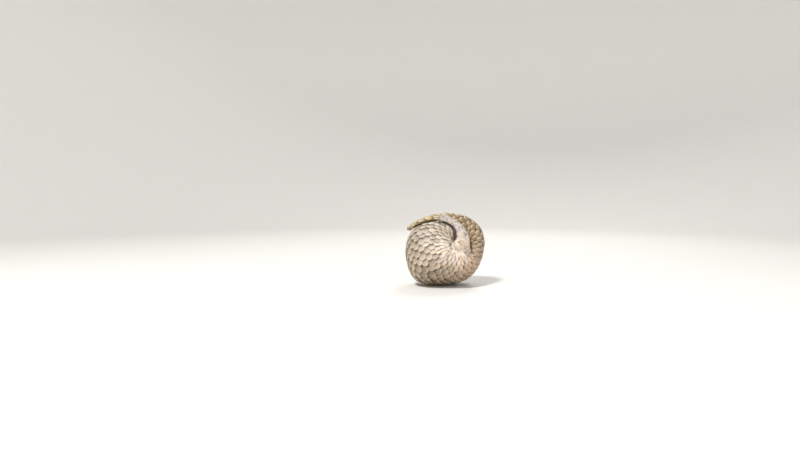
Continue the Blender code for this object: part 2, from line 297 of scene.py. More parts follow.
@dataclass
class Spiral:
    """The trunk and the tail as one spiral round the roll axis, from the shoulders to the tail's tip.

    Each station has the angle round the axis, counter-clockwise as the viewer sees it; the radii of the
    back, of the belly and of the widest place between them; and how far the near and far flanks reach.
    """

    stations: tuple[tuple[float, ...], ...] = (
        (75, 44, 6, 25, 38, 30),
        (95, 54, 5, 26, 50, 44),
        (115, 68, 5, 30, 60, 55),
        (140, 88, 6, 37, 66, 62),
        (152, 98.5, 7, 41, 69, 65),
        (166, 104, 7, 43, 70, 66),
        (195, 106.5, 8, 47, 72, 68),
        (218, 108, 8, 47, 72, 68),
        (240, 91, 8, 44, 70, 66),
        (262, 80, 7, 42, 69, 64),
        (290, 76, 7, 41, 66, 59),
        (315, 73, 14, 42, 59, 51),
        (335, 71, 28, 45, 48, 43),
        (355, 72, 34, 48, 42, 39),
        (375, 78, 36, 53, 39, 37),
        (400, 85, 39, 58, 37, 35),
        (430, 86, 46, 62, 33, 32),
        (455, 87, 56, 67, 29, 30),
        (475, 91.5, 68, 77, 26, 27),
        (495, 100, 84, 91, 22, 23),
        (506, 108.5, 95, 100.5, 18, 19),
        (513, 113.5, 102, 107, 13, 13.5),
    )
    outer_fullness: float = 2.1
    near_fullness: float = 3.4
    far_fullness: float = 2.4
    belly_share: float = 0.7
    front_cut: float = 2.0
    front_reach: float = 7.0
    tip_reach: float = 6.0
    trunk_end: float = 333.0
    tail_start: float = 319.0
    bridge: tuple[float, float] = (402.0, 470.0)
    bridge_inset: float = 7.0

    def rings(
        self, start: float, end: float, inset: float, step: float = 3.0, sides: int = 128
    ) -> np.ndarray:
        """Sections of one length of the spiral, each with its first point repeated as its last.

        Args:
            start: angle of the first section.
            end: angle of the last one.
            inset: how far inside the solids' surface the sections lie.
            step: degrees between sections.
            sides: points of each section.

        Returns:
            An array of rings that start and end at the belly.
        """
        angles = np.linspace(start, end, max(3, round((end - start) / step) + 1))
        table = smooth_rows(np.array(self.stations, float), angles)[:, :, None]
        back, belly = table[:, 1] - inset, table[:, 2] - inset * self.belly_share
        widest, near, far = table[:, 3], table[:, 4] - inset, table[:, 5] - inset
        around = np.linspace(-math.pi, math.pi, sides + 1)[None]
        is_near = np.sin(around) >= 0
        flank = np.where(is_near, near, far)
        inner_power = 2 / np.where(is_near, self.near_fullness, self.far_fullness)
        outer = np.cos(around) >= 0
        reach = np.where(outer, back - widest, widest - belly)
        power = np.where(outer, 2 / self.outer_fullness, inner_power)
        radius = widest + reach * signed_power(np.cos(around), power)
        height = flank * signed_power(np.sin(around), power)
        turn = np.radians(angles)[:, None]
        return np.stack([np.cos(turn) * radius, np.sin(turn) * radius, height], -1)

    def hide(self, start: float, end: float, inset: float, closed_tip: bool = False) -> Hide:
        """The surface of one length of the spiral, with the round tip if that is asked for."""
        rings = self.rings(start, end, inset, step=1.5, sides=192)
        if closed_tip:
            rings = np.concatenate([rings, round_off(rings[-1], rings[-2], self.tip_reach)])
        return Hide.from_rings(rings, around=128)

    def lofts(self, trunk_inset: float, tail_inset: float) -> list[bpy.types.Object]:
        """Makes the trunk, the tail with its round tip, and a narrow bridge of skin under it.

        Args:
            trunk_inset: how far the trunk lies inside the solids.
            tail_inset: how far the tail does.

        Returns:
            The trunk, the tail and the bridge.
        """
        first, last = self.stations[0][0], self.stations[-1][0]
        trunk = self.rings(first + self.front_cut, self.trunk_end, trunk_inset)[:, :-1]
        tail = self.rings(self.tail_start, last, tail_inset)[:, :-1]
        tail = np.concatenate([tail, round_off(tail[-1], tail[-2], self.tip_reach)])
        front = round_off(trunk[0], trunk[1], self.front_reach)[::-1]
        bridge = self.rings(*self.bridge, tail_inset + self.bridge_inset)[:, :-1]
        return [
            closed_loft("trunk_form", np.concatenate([front, trunk])),
            closed_loft("tail_form", tail),
            closed_loft("bridge_form", bridge),
        ]


@dataclass
class Limb:
    """A leg, a foot or the neck: a loft along a short route.

    Each stop has the centre, the half width across the route and the half depth along the roll axis. The
    skin creases between the limb and the trunk past the share crease_start of the route.
    """

    name: str
    side: Side
    stops: tuple[tuple[float, ...], ...]
    inset: float = 2.0
    end_roundness: float = 0.7
    crease_start: float = 0.35
    rings_per_stop: int = 8

    def rings(self, inset: float, sides: int = 48) -> np.ndarray:
        """Sections along the route, each starting and ending on the inner side.

        Args:
            inset: how far inside the solids' surface the sections lie.
            sides: points of each section.

        Returns:
            An array of rings, their ends repeated.
        """
        rows = np.array([(k, *stop) for k, stop in enumerate(self.stops)], float)
        last = len(self.stops) - 1
        table = smooth_rows(rows, np.linspace(0, last, last * self.rings_per_stop + 1))
        places = table[:, 1:4]
        onward = unit(np.gradient(places, axis=0))
        deep = unit(np.array((0, 0, 1.0)) - onward * onward[:, 2:])
        across = np.cross(onward, deep)
        around = np.linspace(-math.pi, math.pi, sides + 1)[None, :, None]
        wide = (table[:, 4] - inset)[:, None, None]
        tall = (table[:, 5] - inset)[:, None, None]
        outer = deep[:, None] * np.cos(around) * tall * self.side.value
        rings = places[:, None] + across[:, None] * np.sin(around) * wide + outer
        start = round_off(rings[0], rings[1], (self.stops[0][4] - inset) * self.end_roundness)[::-1]
        end = round_off(rings[-1], rings[-2], (self.stops[-1][4] - inset) * self.end_roundness)
        return np.concatenate([start, rings, end])

    def creased(self) -> np.ndarray:
        """The sections past the start of the crease."""
        rings = self.rings(self.inset)
        return rings[round(len(rings) * self.crease_start):]

    def cap(self) -> float:
        """The share of the limb's rings that each of its round ends has."""
        return len(CAP_TURNS) / (self.rings_per_stop * (len(self.stops) - 1) + 2 * len(CAP_TURNS))

    def hide(self) -> Hide:
        """The limb's surface, its outer side in the middle."""
        return Hide.from_rings(self.rings(self.inset), around=48)

    def loft(self) -> bpy.types.Object:
        """The limb as a closed mesh."""
        return closed_loft(self.name + "_form", self.rings(self.inset)[:, :-1])


@dataclass
class Head:
    """The head, from the back of the skull to the tip of the snout, with its ears, lids, nostrils and mouth.

    Each profile row has the place along the head and how far the crown, the jaw and the sides reach there.
    """

    back: tuple[float, ...] = (3, 33, -27)
    tip: tuple[float, ...] = (15, -33, -53)
    profile: tuple[tuple[float, ...], ...] = (
        (0.00, 13.5, 11.0, 14.0),
        (0.15, 17.0, 13.5, 17.5),
        (0.32, 17.5, 14.0, 18.0),
        (0.48, 15.0, 12.5, 15.5),
        (0.66, 11.0, 9.5, 11.0),
        (0.84, 8.6, 7.0, 8.6),
        (0.96, 7.2, 5.4, 7.2),
        (1.00, 5.2, 3.8, 5.2),
    )
    inset: float = 0.9
    crown_way: tuple[float, ...] = (1, 0.45, 0)
    nape_reach: float = 8.0
    nose_reach: float = 1.2
    face_reach: float = 24.0
    eye_along: float = 0.52
    eye_raised: float = 1.5
    eye_radius: float = 3.5
    eye_sunk: float = 1.62
    ear_along: float = 0.17
    ear_height: float = 12.0
    ear_thickness: float = 2.6
    ear_sunk: float = 2.5
    ear_reach: float = 6.6
    ear_profile: tuple[tuple[float, float], ...] = (
        (-0.35, 0.8), (0, 0.8), (0.2, 0.93), (0.4, 1.0), (0.6, 0.92), (0.78, 0.72), (0.9, 0.5), (0.98, 0.25))
    nostril: tuple[float, ...] = (1.005, 1.6, 2.7)
    nostril_span: float = 70.0
    nostril_radius: float = 1.9
    nostril_rim: float = 2.7
    nostril_depth: float = 2.0
    mouth_start: float = 0.70
    mouth_low: float = 0.30
    mouth_depth: float = 0.9
    lid_openings: tuple[float, float] = (0.56, 0.44)
    lid_reach: float = 1.45
    lid_faces: tuple[tuple[float, float], ...] = ((0.75, 0.0), (0.1, 0.04))
    lid_rim: float = 0.25
    lid_tuck: float = 1.1

    def axes(self) -> tuple[np.ndarray, np.ndarray, np.ndarray, np.ndarray]:
        """Works out the head's own frame.

        Returns:
            Its back, the way to its tip at its full length, and the ways to its crown and its left side.
        """
        back, way = np.array(self.back, float), np.array(self.tip, float) - np.array(self.back, float)
        onward = unit(way)
        crown = np.array(self.crown_way)
        crown = unit(crown - onward * crown.dot(onward))
        return back, way, crown, unit(np.cross(crown, onward))

    def point(self, along: float, raised: float, aside: float) -> np.ndarray:
        """A place in the head: along it as a share, raised to the crown, aside to its left."""
        back, way, crown, left = self.axes()
        return back + way * along + crown * raised + left * aside

    def side_at(self, along: float) -> float:
        """How far the head's sides reach at a place along it."""
        return float(smooth_rows(np.array(self.profile), np.array([along]))[0, 3])

    def eye_centre(self, side: Side) -> np.ndarray:
        """The middle of an eyeball. The left side of the head is the far one."""
        aside = self.side_at(self.eye_along) - self.eye_sunk
        return self.point(self.eye_along, self.eye_raised, -side.value * aside)

    def rings(self, inset: float, sides: int = 64) -> np.ndarray:
        """Sections of the head that start and end at the jaw, the ends repeated.

        Args:
            inset: how far they lie inside the solid.
            sides: the steps of each.

        Returns:
            The sections, from the nape to the nose.
        """
        back, way, crown, left = self.axes()
        stops = np.linspace(0, 1, 41)
        table = smooth_rows(np.array(self.profile), stops)
        around = np.linspace(-math.pi, math.pi, sides + 1)[None]
        tall = np.where(np.cos(around) > 0, table[:, 1:2], table[:, 2:3]) - inset
        raised, aside = tall * np.cos(around), (table[:, 3:4] - inset) * np.sin(around)
        rings = back + stops[:, None, None] * way + raised[..., None] * crown + aside[..., None] * left
        nape = round_off(rings[0], rings[1], self.nape_reach - inset)[::-1]
        return np.concatenate([nape, rings, round_off(rings[-1], rings[-2], self.nose_reach)])

    def hide(self) -> Hide:
        """The head's surface from its tip back to the nape, which is the way that its scales lie."""
        return Hide.from_rings(self.rings(self.inset)[::-1], around=64)

    def ear_rings(self, side: Side) -> np.ndarray:
        """A low upright flap behind the eye, thin from front to back, and cupped.

        Args:
            side: which ear.

        Returns:
            Its sections, from its root to its rim.
        """
        sign = -side.value
        root = self.point(self.ear_along, 0, sign * (self.side_at(self.ear_along) - self.ear_sunk))
        _, way, crown, left = self.axes()
        outward = unit(left * sign - unit(way) * 0.5 + crown * 0.15)
        thin = unit(np.cross(outward, crown))
        around = np.linspace(0, 2 * math.pi, 21)[:-1]
        rings = []
        for share, wide in self.ear_profile:
            flat = np.cos(around)[:, None] * self.ear_height / 2 * wide * crown
            cup = np.sin(around)[:, None] * self.ear_thickness / 2 * max(wide, 0.5) * thin
            rings.append(root + outward * self.ear_reach * share + flat + cup)
        return np.stack(rings)

    def lofts(self) -> list[bpy.types.Object]:
        """The head and both ears as closed meshes."""
        return [
            closed_loft("head_form", self.rings(self.inset)[:, :-1]),
            closed_loft("ear_left_form", self.ear_rings(Side.LEFT)),
            closed_loft("ear_right_form", self.ear_rings(Side.RIGHT)),
        ]

    def local(self, points: np.ndarray) -> tuple[np.ndarray, np.ndarray, np.ndarray]:
        """Where points lie in the head: along as a share, raised and aside in millimetres."""
        back, way, crown, left = self.axes()
        off = points - back
        return off @ way / (way @ way), off @ crown, off @ left

    def carve(self, points: np.ndarray, normals: np.ndarray) -> np.ndarray:
        """Presses the features of the face into the skin.

        Args:
            points: the skin's points in the coil's frame.
            normals: their outward normals.

        Returns:
            The moved points.
        """
        along, raised, aside = self.local(points)
        off = np.maximum(np.abs(aside), np.abs(raised))
        near = (along > -0.2) & (along < 1.15) & (off < self.face_reach)
        push = self.wrinkles(along, raised, aside) + self.nostrils(along, raised, aside)
        push += self.mouth(along, raised) + self.sockets(points)
        return points + normals * (near * push)[:, None]

    def wrinkles(self, along: np.ndarray, raised: np.ndarray, aside: np.ndarray) -> np.ndarray:
        """How far fine folds across the snout stand out at places in the head."""
        folds = np.sin(along * 95 + np.sin(raised * 0.8) * 1.2) * np.cos(aside * 0.5)
        return smoothstep(0.55, 0.75, along) * (1 - smoothstep(0.9, 0.98, along)) * folds * 0.16

    def nostrils(self, along: np.ndarray, raised: np.ndarray, aside: np.ndarray) -> np.ndarray:
        """How far the nostrils, and the low rims round them, push places in the head outward.

        Args:
            along: places along the head.
            raised: how far they are raised.
            aside: how far aside.

        Returns:
            A distance for each.
        """
        place_along, place_raised, place_aside = self.nostril
        push = np.zeros(len(along))
        for sign in (-1, 1):
            onward = (along - place_along) * self.nostril_span
            off = np.stack([onward, raised - place_raised, aside - sign * place_aside], 1)
            away = np.linalg.norm(off, axis=1)
            push -= self.nostril_depth * np.clip(1 - (away / self.nostril_radius) ** 2, 0, 1)
            push += 0.45 * np.exp(-(((away - self.nostril_rim) / 0.8) ** 2))
        return push

    def mouth(self, along: np.ndarray, raised: np.ndarray) -> np.ndarray:
        """How far the slit of the mouth, and the lip under it, push places in the head outward.

        Args:
            along: places along the head.
            raised: how far they are raised.

        Returns:
            A distance for each.
        """
        line = -self.mouth_low * smooth_rows(np.array(self.profile), np.clip(along, 0, 1))[:, 2]
        slit = np.exp(-(((raised - line) / 0.55) ** 2)) * (along > self.mouth_start) * (along < 1.1)
        slit = slit * smoothstep(self.mouth_start, self.mouth_start + 0.06, along)
        lip = np.exp(-(((raised - line + 1.3) / 0.8) ** 2))
        lip = lip * smoothstep(self.mouth_start + 0.02, self.mouth_start + 0.1, along)
        return 0.3 * lip - self.mouth_depth * slit

    def sockets(self, points: np.ndarray) -> np.ndarray:
        """How far the eye sockets, and the soft ridges round them, push the skin's points outward.

        Args:
            points: places in the coil's frame.

        Returns:
            A distance for each.
        """
        push = np.zeros(len(points))
        for side in Side:
            away = np.linalg.norm(points - self.eye_centre(side), axis=1)
            push += 0.8 * np.exp(-(((away - 5.6) / 1.5) ** 2))
            push -= 1.2 * np.clip(1 - (away / 4.0) ** 2, 0, 1)
        return push

    def lid_points(self, side: Side, upper: bool) -> tuple[np.ndarray, np.ndarray]:
        """A lid: a thin shell over part of the eyeball, its edge a rounded rim.

        Args:
            side: which eye.
            upper: the upper lid, or else the lower one.

        Returns:
            Its points and the quads between them.
        """
        _, way, crown, left = self.axes()
        gaze, fore = left * -side.value, unit(way)
        centre, sign = self.eye_centre(side), 1.0 if upper else -1.0
        opening = self.lid_openings[0 if upper else 1]
        turns, rises = np.linspace(-self.lid_reach, self.lid_reach, 25), np.linspace(0, 1, 9)
        edge = opening * np.cos(turns * math.pi / (2 * self.lid_reach)) ** 0.8
        rows = []
        for over, lift in self.lid_faces:
            for rise in rises if not rows else rises[::-1]:
                tilt = edge + lift + rise * (self.lid_reach - edge)
                rim = 0.0 if lift else self.lid_rim * math.exp(-rise * 7)
                grow = self.eye_radius + over + rim - self.lid_tuck * rise**3
                out = np.cos(tilt)[:, None] * np.cos(turns)[:, None] * gaze
                out = out + np.sin(tilt)[:, None] * crown * sign
                out = out + (np.cos(tilt) * np.sin(turns))[:, None] * fore
                rows.append(centre + unit(out) * grow)
        points = np.stack(rows)
        quads = strip_quads(len(rows), len(turns), wrap_rows=True)
        return points.reshape(-1, 3), quads


def strip_quads(rows: int, columns: int, wrap_rows: bool = False) -> np.ndarray:
    """The quads of a grid of points.

    Args:
        rows: how many rows of points there are.
        columns: how many points each row has.
        wrap_rows: whether the last row joins the first.

    Returns:
        An array of quads.
    """
    i, k = np.meshgrid(np.arange(rows if wrap_rows else rows - 1), np.arange(columns - 1), indexing="ij")
    following = (i + 1) % rows
    corners = (i * columns + k, i * columns + k + 1, following * columns + k + 1, following * columns + k)
    return np.stack([c.ravel() for c in corners], 1)


@dataclass(frozen=True)
class ScaleShape:
    """How a scale is formed: a shield, rooted in the skin, whose rounded tip lies on the next scales."""

    columns: tuple[float, ...] = (-1, -0.92, -0.68, -0.36, 0, 0.36, 0.68, 0.92, 1)
    rows: tuple[float, ...] = (0, 0.14, 0.28, 0.42, 0.55, 0.67, 0.78, 0.87, 0.935, 0.975, 1)
    widest: float = 0.42
    root_width: float = 0.62
    tip_power: float = 2.6
    roundness: float = 0.5
    root_height: float = -0.9
    tip_height: float = 3.0
    thickness: float = 1.25
    camber: float = 0.8
    keel: float = 0.0

    def outline(self, rows: np.ndarray) -> np.ndarray:
        """Half the width at each row, as a share of the scale's half width.

        Args:
            rows: places along the scale.

        Returns:
            A share for each.
        """
        widening = np.sin(math.pi / 2 * np.minimum(rows / self.widest, 1))
        root = self.root_width + (1 - self.root_width) * widening
        past = np.clip((rows - self.widest) / (1 - self.widest), 0, 1)
        tip = (1 - past**self.tip_power) ** self.roundness
        return np.maximum(np.where(rows < self.widest, root, tip), 0.05)

    def template(self) -> tuple[np.ndarray, np.ndarray, np.ndarray]:
        """The scale's own mesh.

        Returns:
            For each point its place across, along, and whether it is on the underside; then the quads, and
            the place that each point has on the scale's patch of a map.
        """
        across, along = np.meshgrid(self.columns, self.rows)
        top = np.stack([across.ravel(), along.ravel(), np.zeros(across.size)], 1)
        points = np.concatenate([top, top + (0, 0, 1)])
        rows, columns = len(self.rows), len(self.columns)
        faces = strip_quads(rows, columns)
        count = rows * columns
        rim = list(range(columns)) + [r * columns + columns - 1 for r in range(1, rows)]
        rim += [(rows - 1) * columns + k for k in range(columns - 2, -1, -1)]
        rim += [r * columns for r in range(rows - 2, 0, -1)]
        edge = np.array(rim)
        after = np.roll(edge, -1)
        sides = np.stack([after, edge, edge + count, after + count], 1)
        quads = np.concatenate([faces, faces[:, ::-1] + count, sides])
        patch = points[:, :2] * (0.5, 1) + (0.5, 0)
        under = points[:, 2] > 0
        patch[under] = (patch[under] - 0.5) * 0.9 + 0.5
        return points, quads, patch

    def height(self, across: np.ndarray, along: np.ndarray) -> np.ndarray:
        """How high the upper face stands over the skin."""
        rise = self.root_height + (self.tip_height - self.root_height) * along**0.9
        ridge = self.keel * np.exp(-((across / 0.16) ** 2)) * (1 - 0.5 * along) * smoothstep(0.1, 0.4, along)
        droop = self.camber * across**2 * (0.4 + 0.6 * along)
        return rise - droop + ridge - 0.25 * self.thickness * smoothstep(0.9, 1.0, along)

    def depth(self, across: np.ndarray, along: np.ndarray) -> np.ndarray:
        """How thick the scale is: thin at its sides and its tip."""
        return self.thickness * (1 - 0.5 * across**4) * (1 - 0.55 * smoothstep(0.6, 1.0, along))


class Part(Enum):
    """What a place of the body belongs to, for its colour and its creases."""

    TRUNK = "trunk"
    TAIL = "tail"
    LEG = "leg"
    WEB = "web"
    HEAD = "head"
    BARE = "bare"


@dataclass
class Field:
    """One lattice of scales on one surface: rows that lie around it, each second one half a step ahead."""

    hide: Hide
    shape: ScaleShape
    shares: tuple[float, ...]
    start: float
    end: float
    count: int
    part: Part
    width: float = 1.38
    overlap: float = 1.45
    least_length: float = 0.85
    longest: float = 38.0
    crowded: float = 0.55
    jitter: float = 0.045
    uneven_width: float = 0.04
    uneven_length: float = 0.05
    uneven_turn: float = 0.055
    lifts: tuple[float, float] = (-0.12, 0.22)
    full_width: float = 22.0
    least_size: float = 0.35
    # How much the skin under this lattice takes the scales' colour and the painted shade under them.
    veil: float = 1.0

    def roots(self, random: np.random.Generator) -> dict[str, np.ndarray]:
        """Where each scale starts and how large it is.

        Args:
            random: the source of small differences.

        Returns:
            Places along and around, widths and lengths in millimetres, turns, lifts, and the room that each
            scale has on the unwrapped surface.
        """
        shares = np.array(sorted(self.shares))
        span = self.end - self.start
        found = []
        for k, (share, gap) in enumerate(zip(shares, np.gradient(shares))):
            offset = 0.5 * ((k - len(shares) // 2) % 2)
            stops = (np.arange(self.count) + offset) / self.count
            found.append(np.stack(np.broadcast_arrays(self.start + span * stops, share, gap), 1))
        along, around, gap = np.concatenate(found).T
        step = np.full(len(along), span / self.count)
        ranks = np.tile(np.arange(self.count), len(shares))
        long, wide = self.hide.pitch(along + step / 2, around)
        row, length = gap * wide, step * long * self.overlap
        least = row * self.width * self.least_length
        spare = np.maximum(np.round(self.crowded * least / length), 1)
        kept = ranks % spare == 0
        along, around, step, gap, row = (values[kept] for values in (along, around, step, gap, row))
        length = np.clip(np.maximum(length, least)[kept], 0, self.longest)
        n = len(along)
        wobble = random.normal(0, 1, (n, 5)).clip(-2, 2)
        return {
            "along": along + wobble[:, 0] * self.jitter * step * 0.6,
            "around": around + wobble[:, 1] * self.jitter * gap,
            "width": row * self.width * (1 + self.uneven_width * wobble[:, 2]),
            "length": length * (1 + self.uneven_length * wobble[:, 3]),
            "turn": wobble[:, 4] * self.uneven_turn,
            "lift": random.uniform(*self.lifts, n),
            "tone": random.uniform(0, 1, n),
            "step": step,
            "gap": gap,
        }

    def points(self, roots: dict[str, np.ndarray]) -> tuple[np.ndarray, np.ndarray, np.ndarray]:
        """Lays every scale's points on the surface.

        Args:
            roots: the scales, as roots gives them.

        Returns:
            Places on the surface, its normals there, and heights over it, as arrays of scales by points.
        """
        local, _, _ = self.shape.template()
        across, along, under = local.T
        half = self.shape.outline(along)[None] * roots["width"][:, None] / 2
        x, y = across[None] * half, along[None] * roots["length"][:, None]
        turn = roots["turn"][:, None]
        x, y = x * np.cos(turn) - y * np.sin(turn), x * np.sin(turn) + y * np.cos(turn)
        long, wide = self.hide.pitch(roots["along"] + roots["step"] / 2, roots["around"])
        at = roots["along"][:, None] + y / long[:, None]
        around = roots["around"][:, None] + x / wide[:, None]
        place, normal = self.hide.read(at, around)
        size = np.clip(roots["width"] / self.full_width, self.least_size, 1.0)[:, None]
        height = self.shape.height(across, along)[None] * np.clip(size * 1.25, 0.6, 1)
        height = height - under * self.shape.depth(across, along)[None] * np.clip(size * 1.3, 0.5, 1)
        height = height + roots["lift"][:, None] * along[None] * size
        return place, normal, height


@dataclass(frozen=True)
class Zone:
    """A place where the markings change: its colour, middle and reach in the coil's frame."""

    colour: Colour
    middle: tuple[float, float, float]
    reach: float
    strength: float = 1.0


@dataclass
class Markings:
    """The animal's colours, which the skin and the coat share, with a painted highlight and painted shade
    among its zones.
    """

    horn: Colour = (0.48, 0.415, 0.355)
    leg_grey: Colour = (0.49, 0.455, 0.43)
    tail_brown: Colour = (0.235, 0.16, 0.085)
    crown: Colour = (0.36, 0.29, 0.215)
    bare: Colour = (0.56, 0.41, 0.34)
    back_brown: Colour = (0.34, 0.27, 0.18)
    back_strength: float = 0.75
    zones: tuple[Zone, ...] = (
        Zone((0.38, 0.33, 0.275), (-85, 10, 30), 46, 0.6),
        # Darker towards the bottom of the near flank: partly the olive-brown of the underside, partly
        # painted shade where less light falls.
        Zone((0.215, 0.155, 0.08), (-44, -72, 30), 46, 0.95),
        Zone((0.41, 0.25, 0.15), (36, -52, 50), 44, 0.95),
        # A painted highlight: a pale pool on the middle of the near flank, where the light falls most.
        Zone((0.79, 0.69, 0.60), (-8, -14, 70), 34, 0.85),
        Zone((0.64, 0.47, 0.38), (-13, 13, 58), 9, 0.8),
    )
    tail_zones: tuple[Zone, ...] = (
        Zone((0.66, 0.57, 0.33), (-66, 62, 0), 50, 0.9),
        Zone((0.40, 0.30, 0.225), (74, -8, 10), 34, 0.85),
    )
    leg_zones: tuple[Zone, ...] = (Zone((0.60, 0.46, 0.36), (16, -14, 62), 24, 0.9),)
    bare_zones: tuple[Zone, ...] = (
        Zone((0.27, 0.21, 0.17), (-34, 64, 36), 17, 0.9),
        Zone((0.27, 0.21, 0.17), (14, 56, -44), 15, 0.9),
        Zone((0.27, 0.21, 0.17), (-3, -24, -58), 15, 0.9),
        # Painted shade: bare skin on the near flank, at the web and the thigh, made dark so that gaps
        # between the scales look shadowed.
        Zone((0.20, 0.155, 0.12), (8, -14, 50), 34, 0.9),
        Zone((0.20, 0.155, 0.12), (60, -22, 36), 24, 0.9),
    )

    def colours(
        self, part: Part, points: np.ndarray, back: np.ndarray | float = 0.0
    ) -> np.ndarray:
        """The colour of the animal at each place, the painted highlight and shade of the zones included.

        Args:
            part: what the places belong to.
            points: places in the coil's frame.
            back: 1 on the middle of the back, 0 on the flanks.

        Returns:
            A colour for each place.
        """
        base, zones = {
            Part.TRUNK: (self.horn, self.zones),
            Part.TAIL: (self.tail_brown, self.tail_zones),
            Part.LEG: (self.leg_grey, self.leg_zones),
            Part.WEB: (self.horn, self.zones),
            Part.HEAD: (self.crown, ()),
            Part.BARE: (self.bare, self.bare_zones),
        }[part]
        found = np.tile(np.array(base), (len(points), 1))
        if part is Part.TRUNK:
            found += (np.array(self.back_brown) - found) * (self.back_strength * back)[:, None]
        for zone in zones:
            away = np.linalg.norm(points - np.array(zone.middle), axis=1) / zone.reach
            share = zone.strength * np.exp(-(away**2))
            found += (np.array(zone.colour) - found) * share[:, None]
        return found


def blur(mesh: bpy.types.Mesh, values: np.ndarray, rounds: int) -> np.ndarray:
    """Evens out values over a mesh, each point with its neighbours.

    Args:
        mesh: the mesh.
        values: a row for each of its points.
        rounds: how often it is done.

    Returns:
        The even values.
    """
    ends = np.empty(len(mesh.edges) * 2, np.int32)
    mesh.edges.foreach_get("vertices", ends)
    first, second = ends.reshape(-1, 2).T
    here, there = np.concatenate([first, second]), np.concatenate([second, first])
    count = np.maximum(np.bincount(here, minlength=len(values)), 1)
    for _ in range(rounds):
        sums = [np.bincount(here, column[there], minlength=len(values)) for column in values.T]
        values = (1 - BLUR_SHARE) * values + BLUR_SHARE * np.stack(sums, 1) / count[:, None]
    return values


def mesh_piece(name: str, points: np.ndarray, quads: np.ndarray) -> bpy.types.Object:
    """Makes a mesh object from arrays, smooth shaded.

    Args:
        name: the piece's name.
        points: places in the world, in metres.
        quads: four points for each face.

    Returns:
        The linked object.
    """
    mesh = bpy.data.meshes.new(name)
    mesh.vertices.add(len(points))
    mesh.vertices.foreach_set("co", points.astype(np.float32).ravel())
    mesh.loops.add(quads.size)
    mesh.loops.foreach_set("vertex_index", quads.astype(np.int32).ravel())
    mesh.polygons.add(len(quads))
    mesh.polygons.foreach_set("loop_start", np.arange(0, quads.size, 4, dtype=np.int32))
    mesh.update(calc_edges=True)
    mesh.shade_smooth()
    thing = bpy.data.objects.new(name, mesh)
    bpy.context.scene.collection.objects.link(thing)
    return thing


def add_map(thing: bpy.types.Object, name: str, places: np.ndarray) -> None:
    """Gives a mesh a UV map with one place for each of its points.

    Args:
        thing: the mesh object.
        name: the map's name.
        places: the places.
    """
    mesh = thing.data
    corner = np.empty(len(mesh.loops), np.int32)
    mesh.loops.foreach_get("vertex_index", corner)
    layer = mesh.uv_layers.new(name=name)
    layer.uv.foreach_set("vector", places[corner].astype(np.float32).ravel())


def add_values(thing: bpy.types.Object, name: str, values: np.ndarray) -> None:
    """Gives a mesh a colour or a number for each of its points.

    Args:
        thing: the mesh object.
        name: the attribute's name.
        values: the colours or numbers.
    """
    if values.ndim == 2:
        layer = thing.data.attributes.new(name, "FLOAT_COLOR", "POINT")
        full = np.concatenate([values, np.ones((len(values), 1))], 1)
        layer.data.foreach_set("color", full.astype(np.float32).ravel())
    else:
        layer = thing.data.attributes.new(name, "FLOAT", "POINT")
        layer.data.foreach_set("value", values.astype(np.float32).ravel())


@dataclass
class Graph:
    """A node tree that is being built, with short calls for its nodes and links."""

    tree: bpy.types.NodeTree

    def add(self, kind: str, settings: dict[str, object] | None = None, **inputs: object) -> bpy.types.Node:
        """Adds a node.

        Args:
            kind: the node's type, without its ShaderNode prefix.
            settings: properties of the node, by name.
            inputs: values or sockets for its inputs, by name with _ for a blank; i0, i1 and so on go by
                place.

        Returns:
            The node.
        """
        node = self.tree.nodes.new("ShaderNode" + kind if not kind.startswith("Node") else kind)
        for name, value in (settings or {}).items():
            setattr(node, name, value)
        for name, value in inputs.items():
            by_place = name[0] == "i" and name[1:].isdigit()
            socket = node.inputs[int(name[1:]) if by_place else name.replace("_", " ")]
            if isinstance(value, bpy.types.NodeSocket):
                self.tree.links.new(value, socket)
            else:
                socket.default_value = value
        return node

    def sums(self, operation: str, first: object, second: object = 0.0) -> bpy.types.NodeSocket:
        """One step of arithmetic on two values."""
        return self.add("Math", {"operation": operation}, i0=first, i1=second).outputs[0]

    def fit(
        self, value: object, low: float, high: float, to_low: float = 0.0, to_high: float = 1.0
    ) -> bpy.types.NodeSocket:
        """Maps a value from one range to another, smoothly and clamped."""
        node = self.add("MapRange", {"interpolation_type": "SMOOTHSTEP"}, Value=value, From_Min=low,
                        From_Max=high, To_Min=to_low, To_Max=to_high)
        return node.outputs[0]

    def mix(self, share: object, first: object, second: object, blend: str = "MIX") -> bpy.types.NodeSocket:
        """Mixes two colours."""
        node = self.add("Mix", {"data_type": "RGBA", "blend_type": blend}, i0=share, i6=first, i7=second)
        return node.outputs[2]

    def shaded(self, colour: object, grey: object) -> bpy.types.NodeSocket:
        """A colour made lighter or darker by a grey."""
        tone = self.add("CombineColor", Red=grey, Green=grey, Blue=grey).outputs[0]
        return self.mix(1.0, colour, tone, "MULTIPLY")

    def read(self, name: str, output: str = "Fac") -> bpy.types.NodeSocket:
        """What the mesh says of each of its places under a name."""
        return self.add("Attribute", {"attribute_name": name}).outputs[output]

    def shield(self) -> bpy.types.NodeOutputs:
        """Where a place is on its own scale, claw or eyeball: across it, then along it."""
        where = self.add("UVMap", {"uv_map": "shield"}).outputs[0]
        return self.add("SeparateXYZ", Vector=where).outputs

    def shared(self, tree: bpy.types.NodeTree, **inputs: object) -> bpy.types.NodeOutputs:
        """Uses a shared node group."""
        return self.add("Group", {"node_tree": tree}, **inputs).outputs


def rgba(colour: Colour) -> tuple[float, float, float, float]:
    """A colour with full opacity."""
    return (*colour, 1.0)


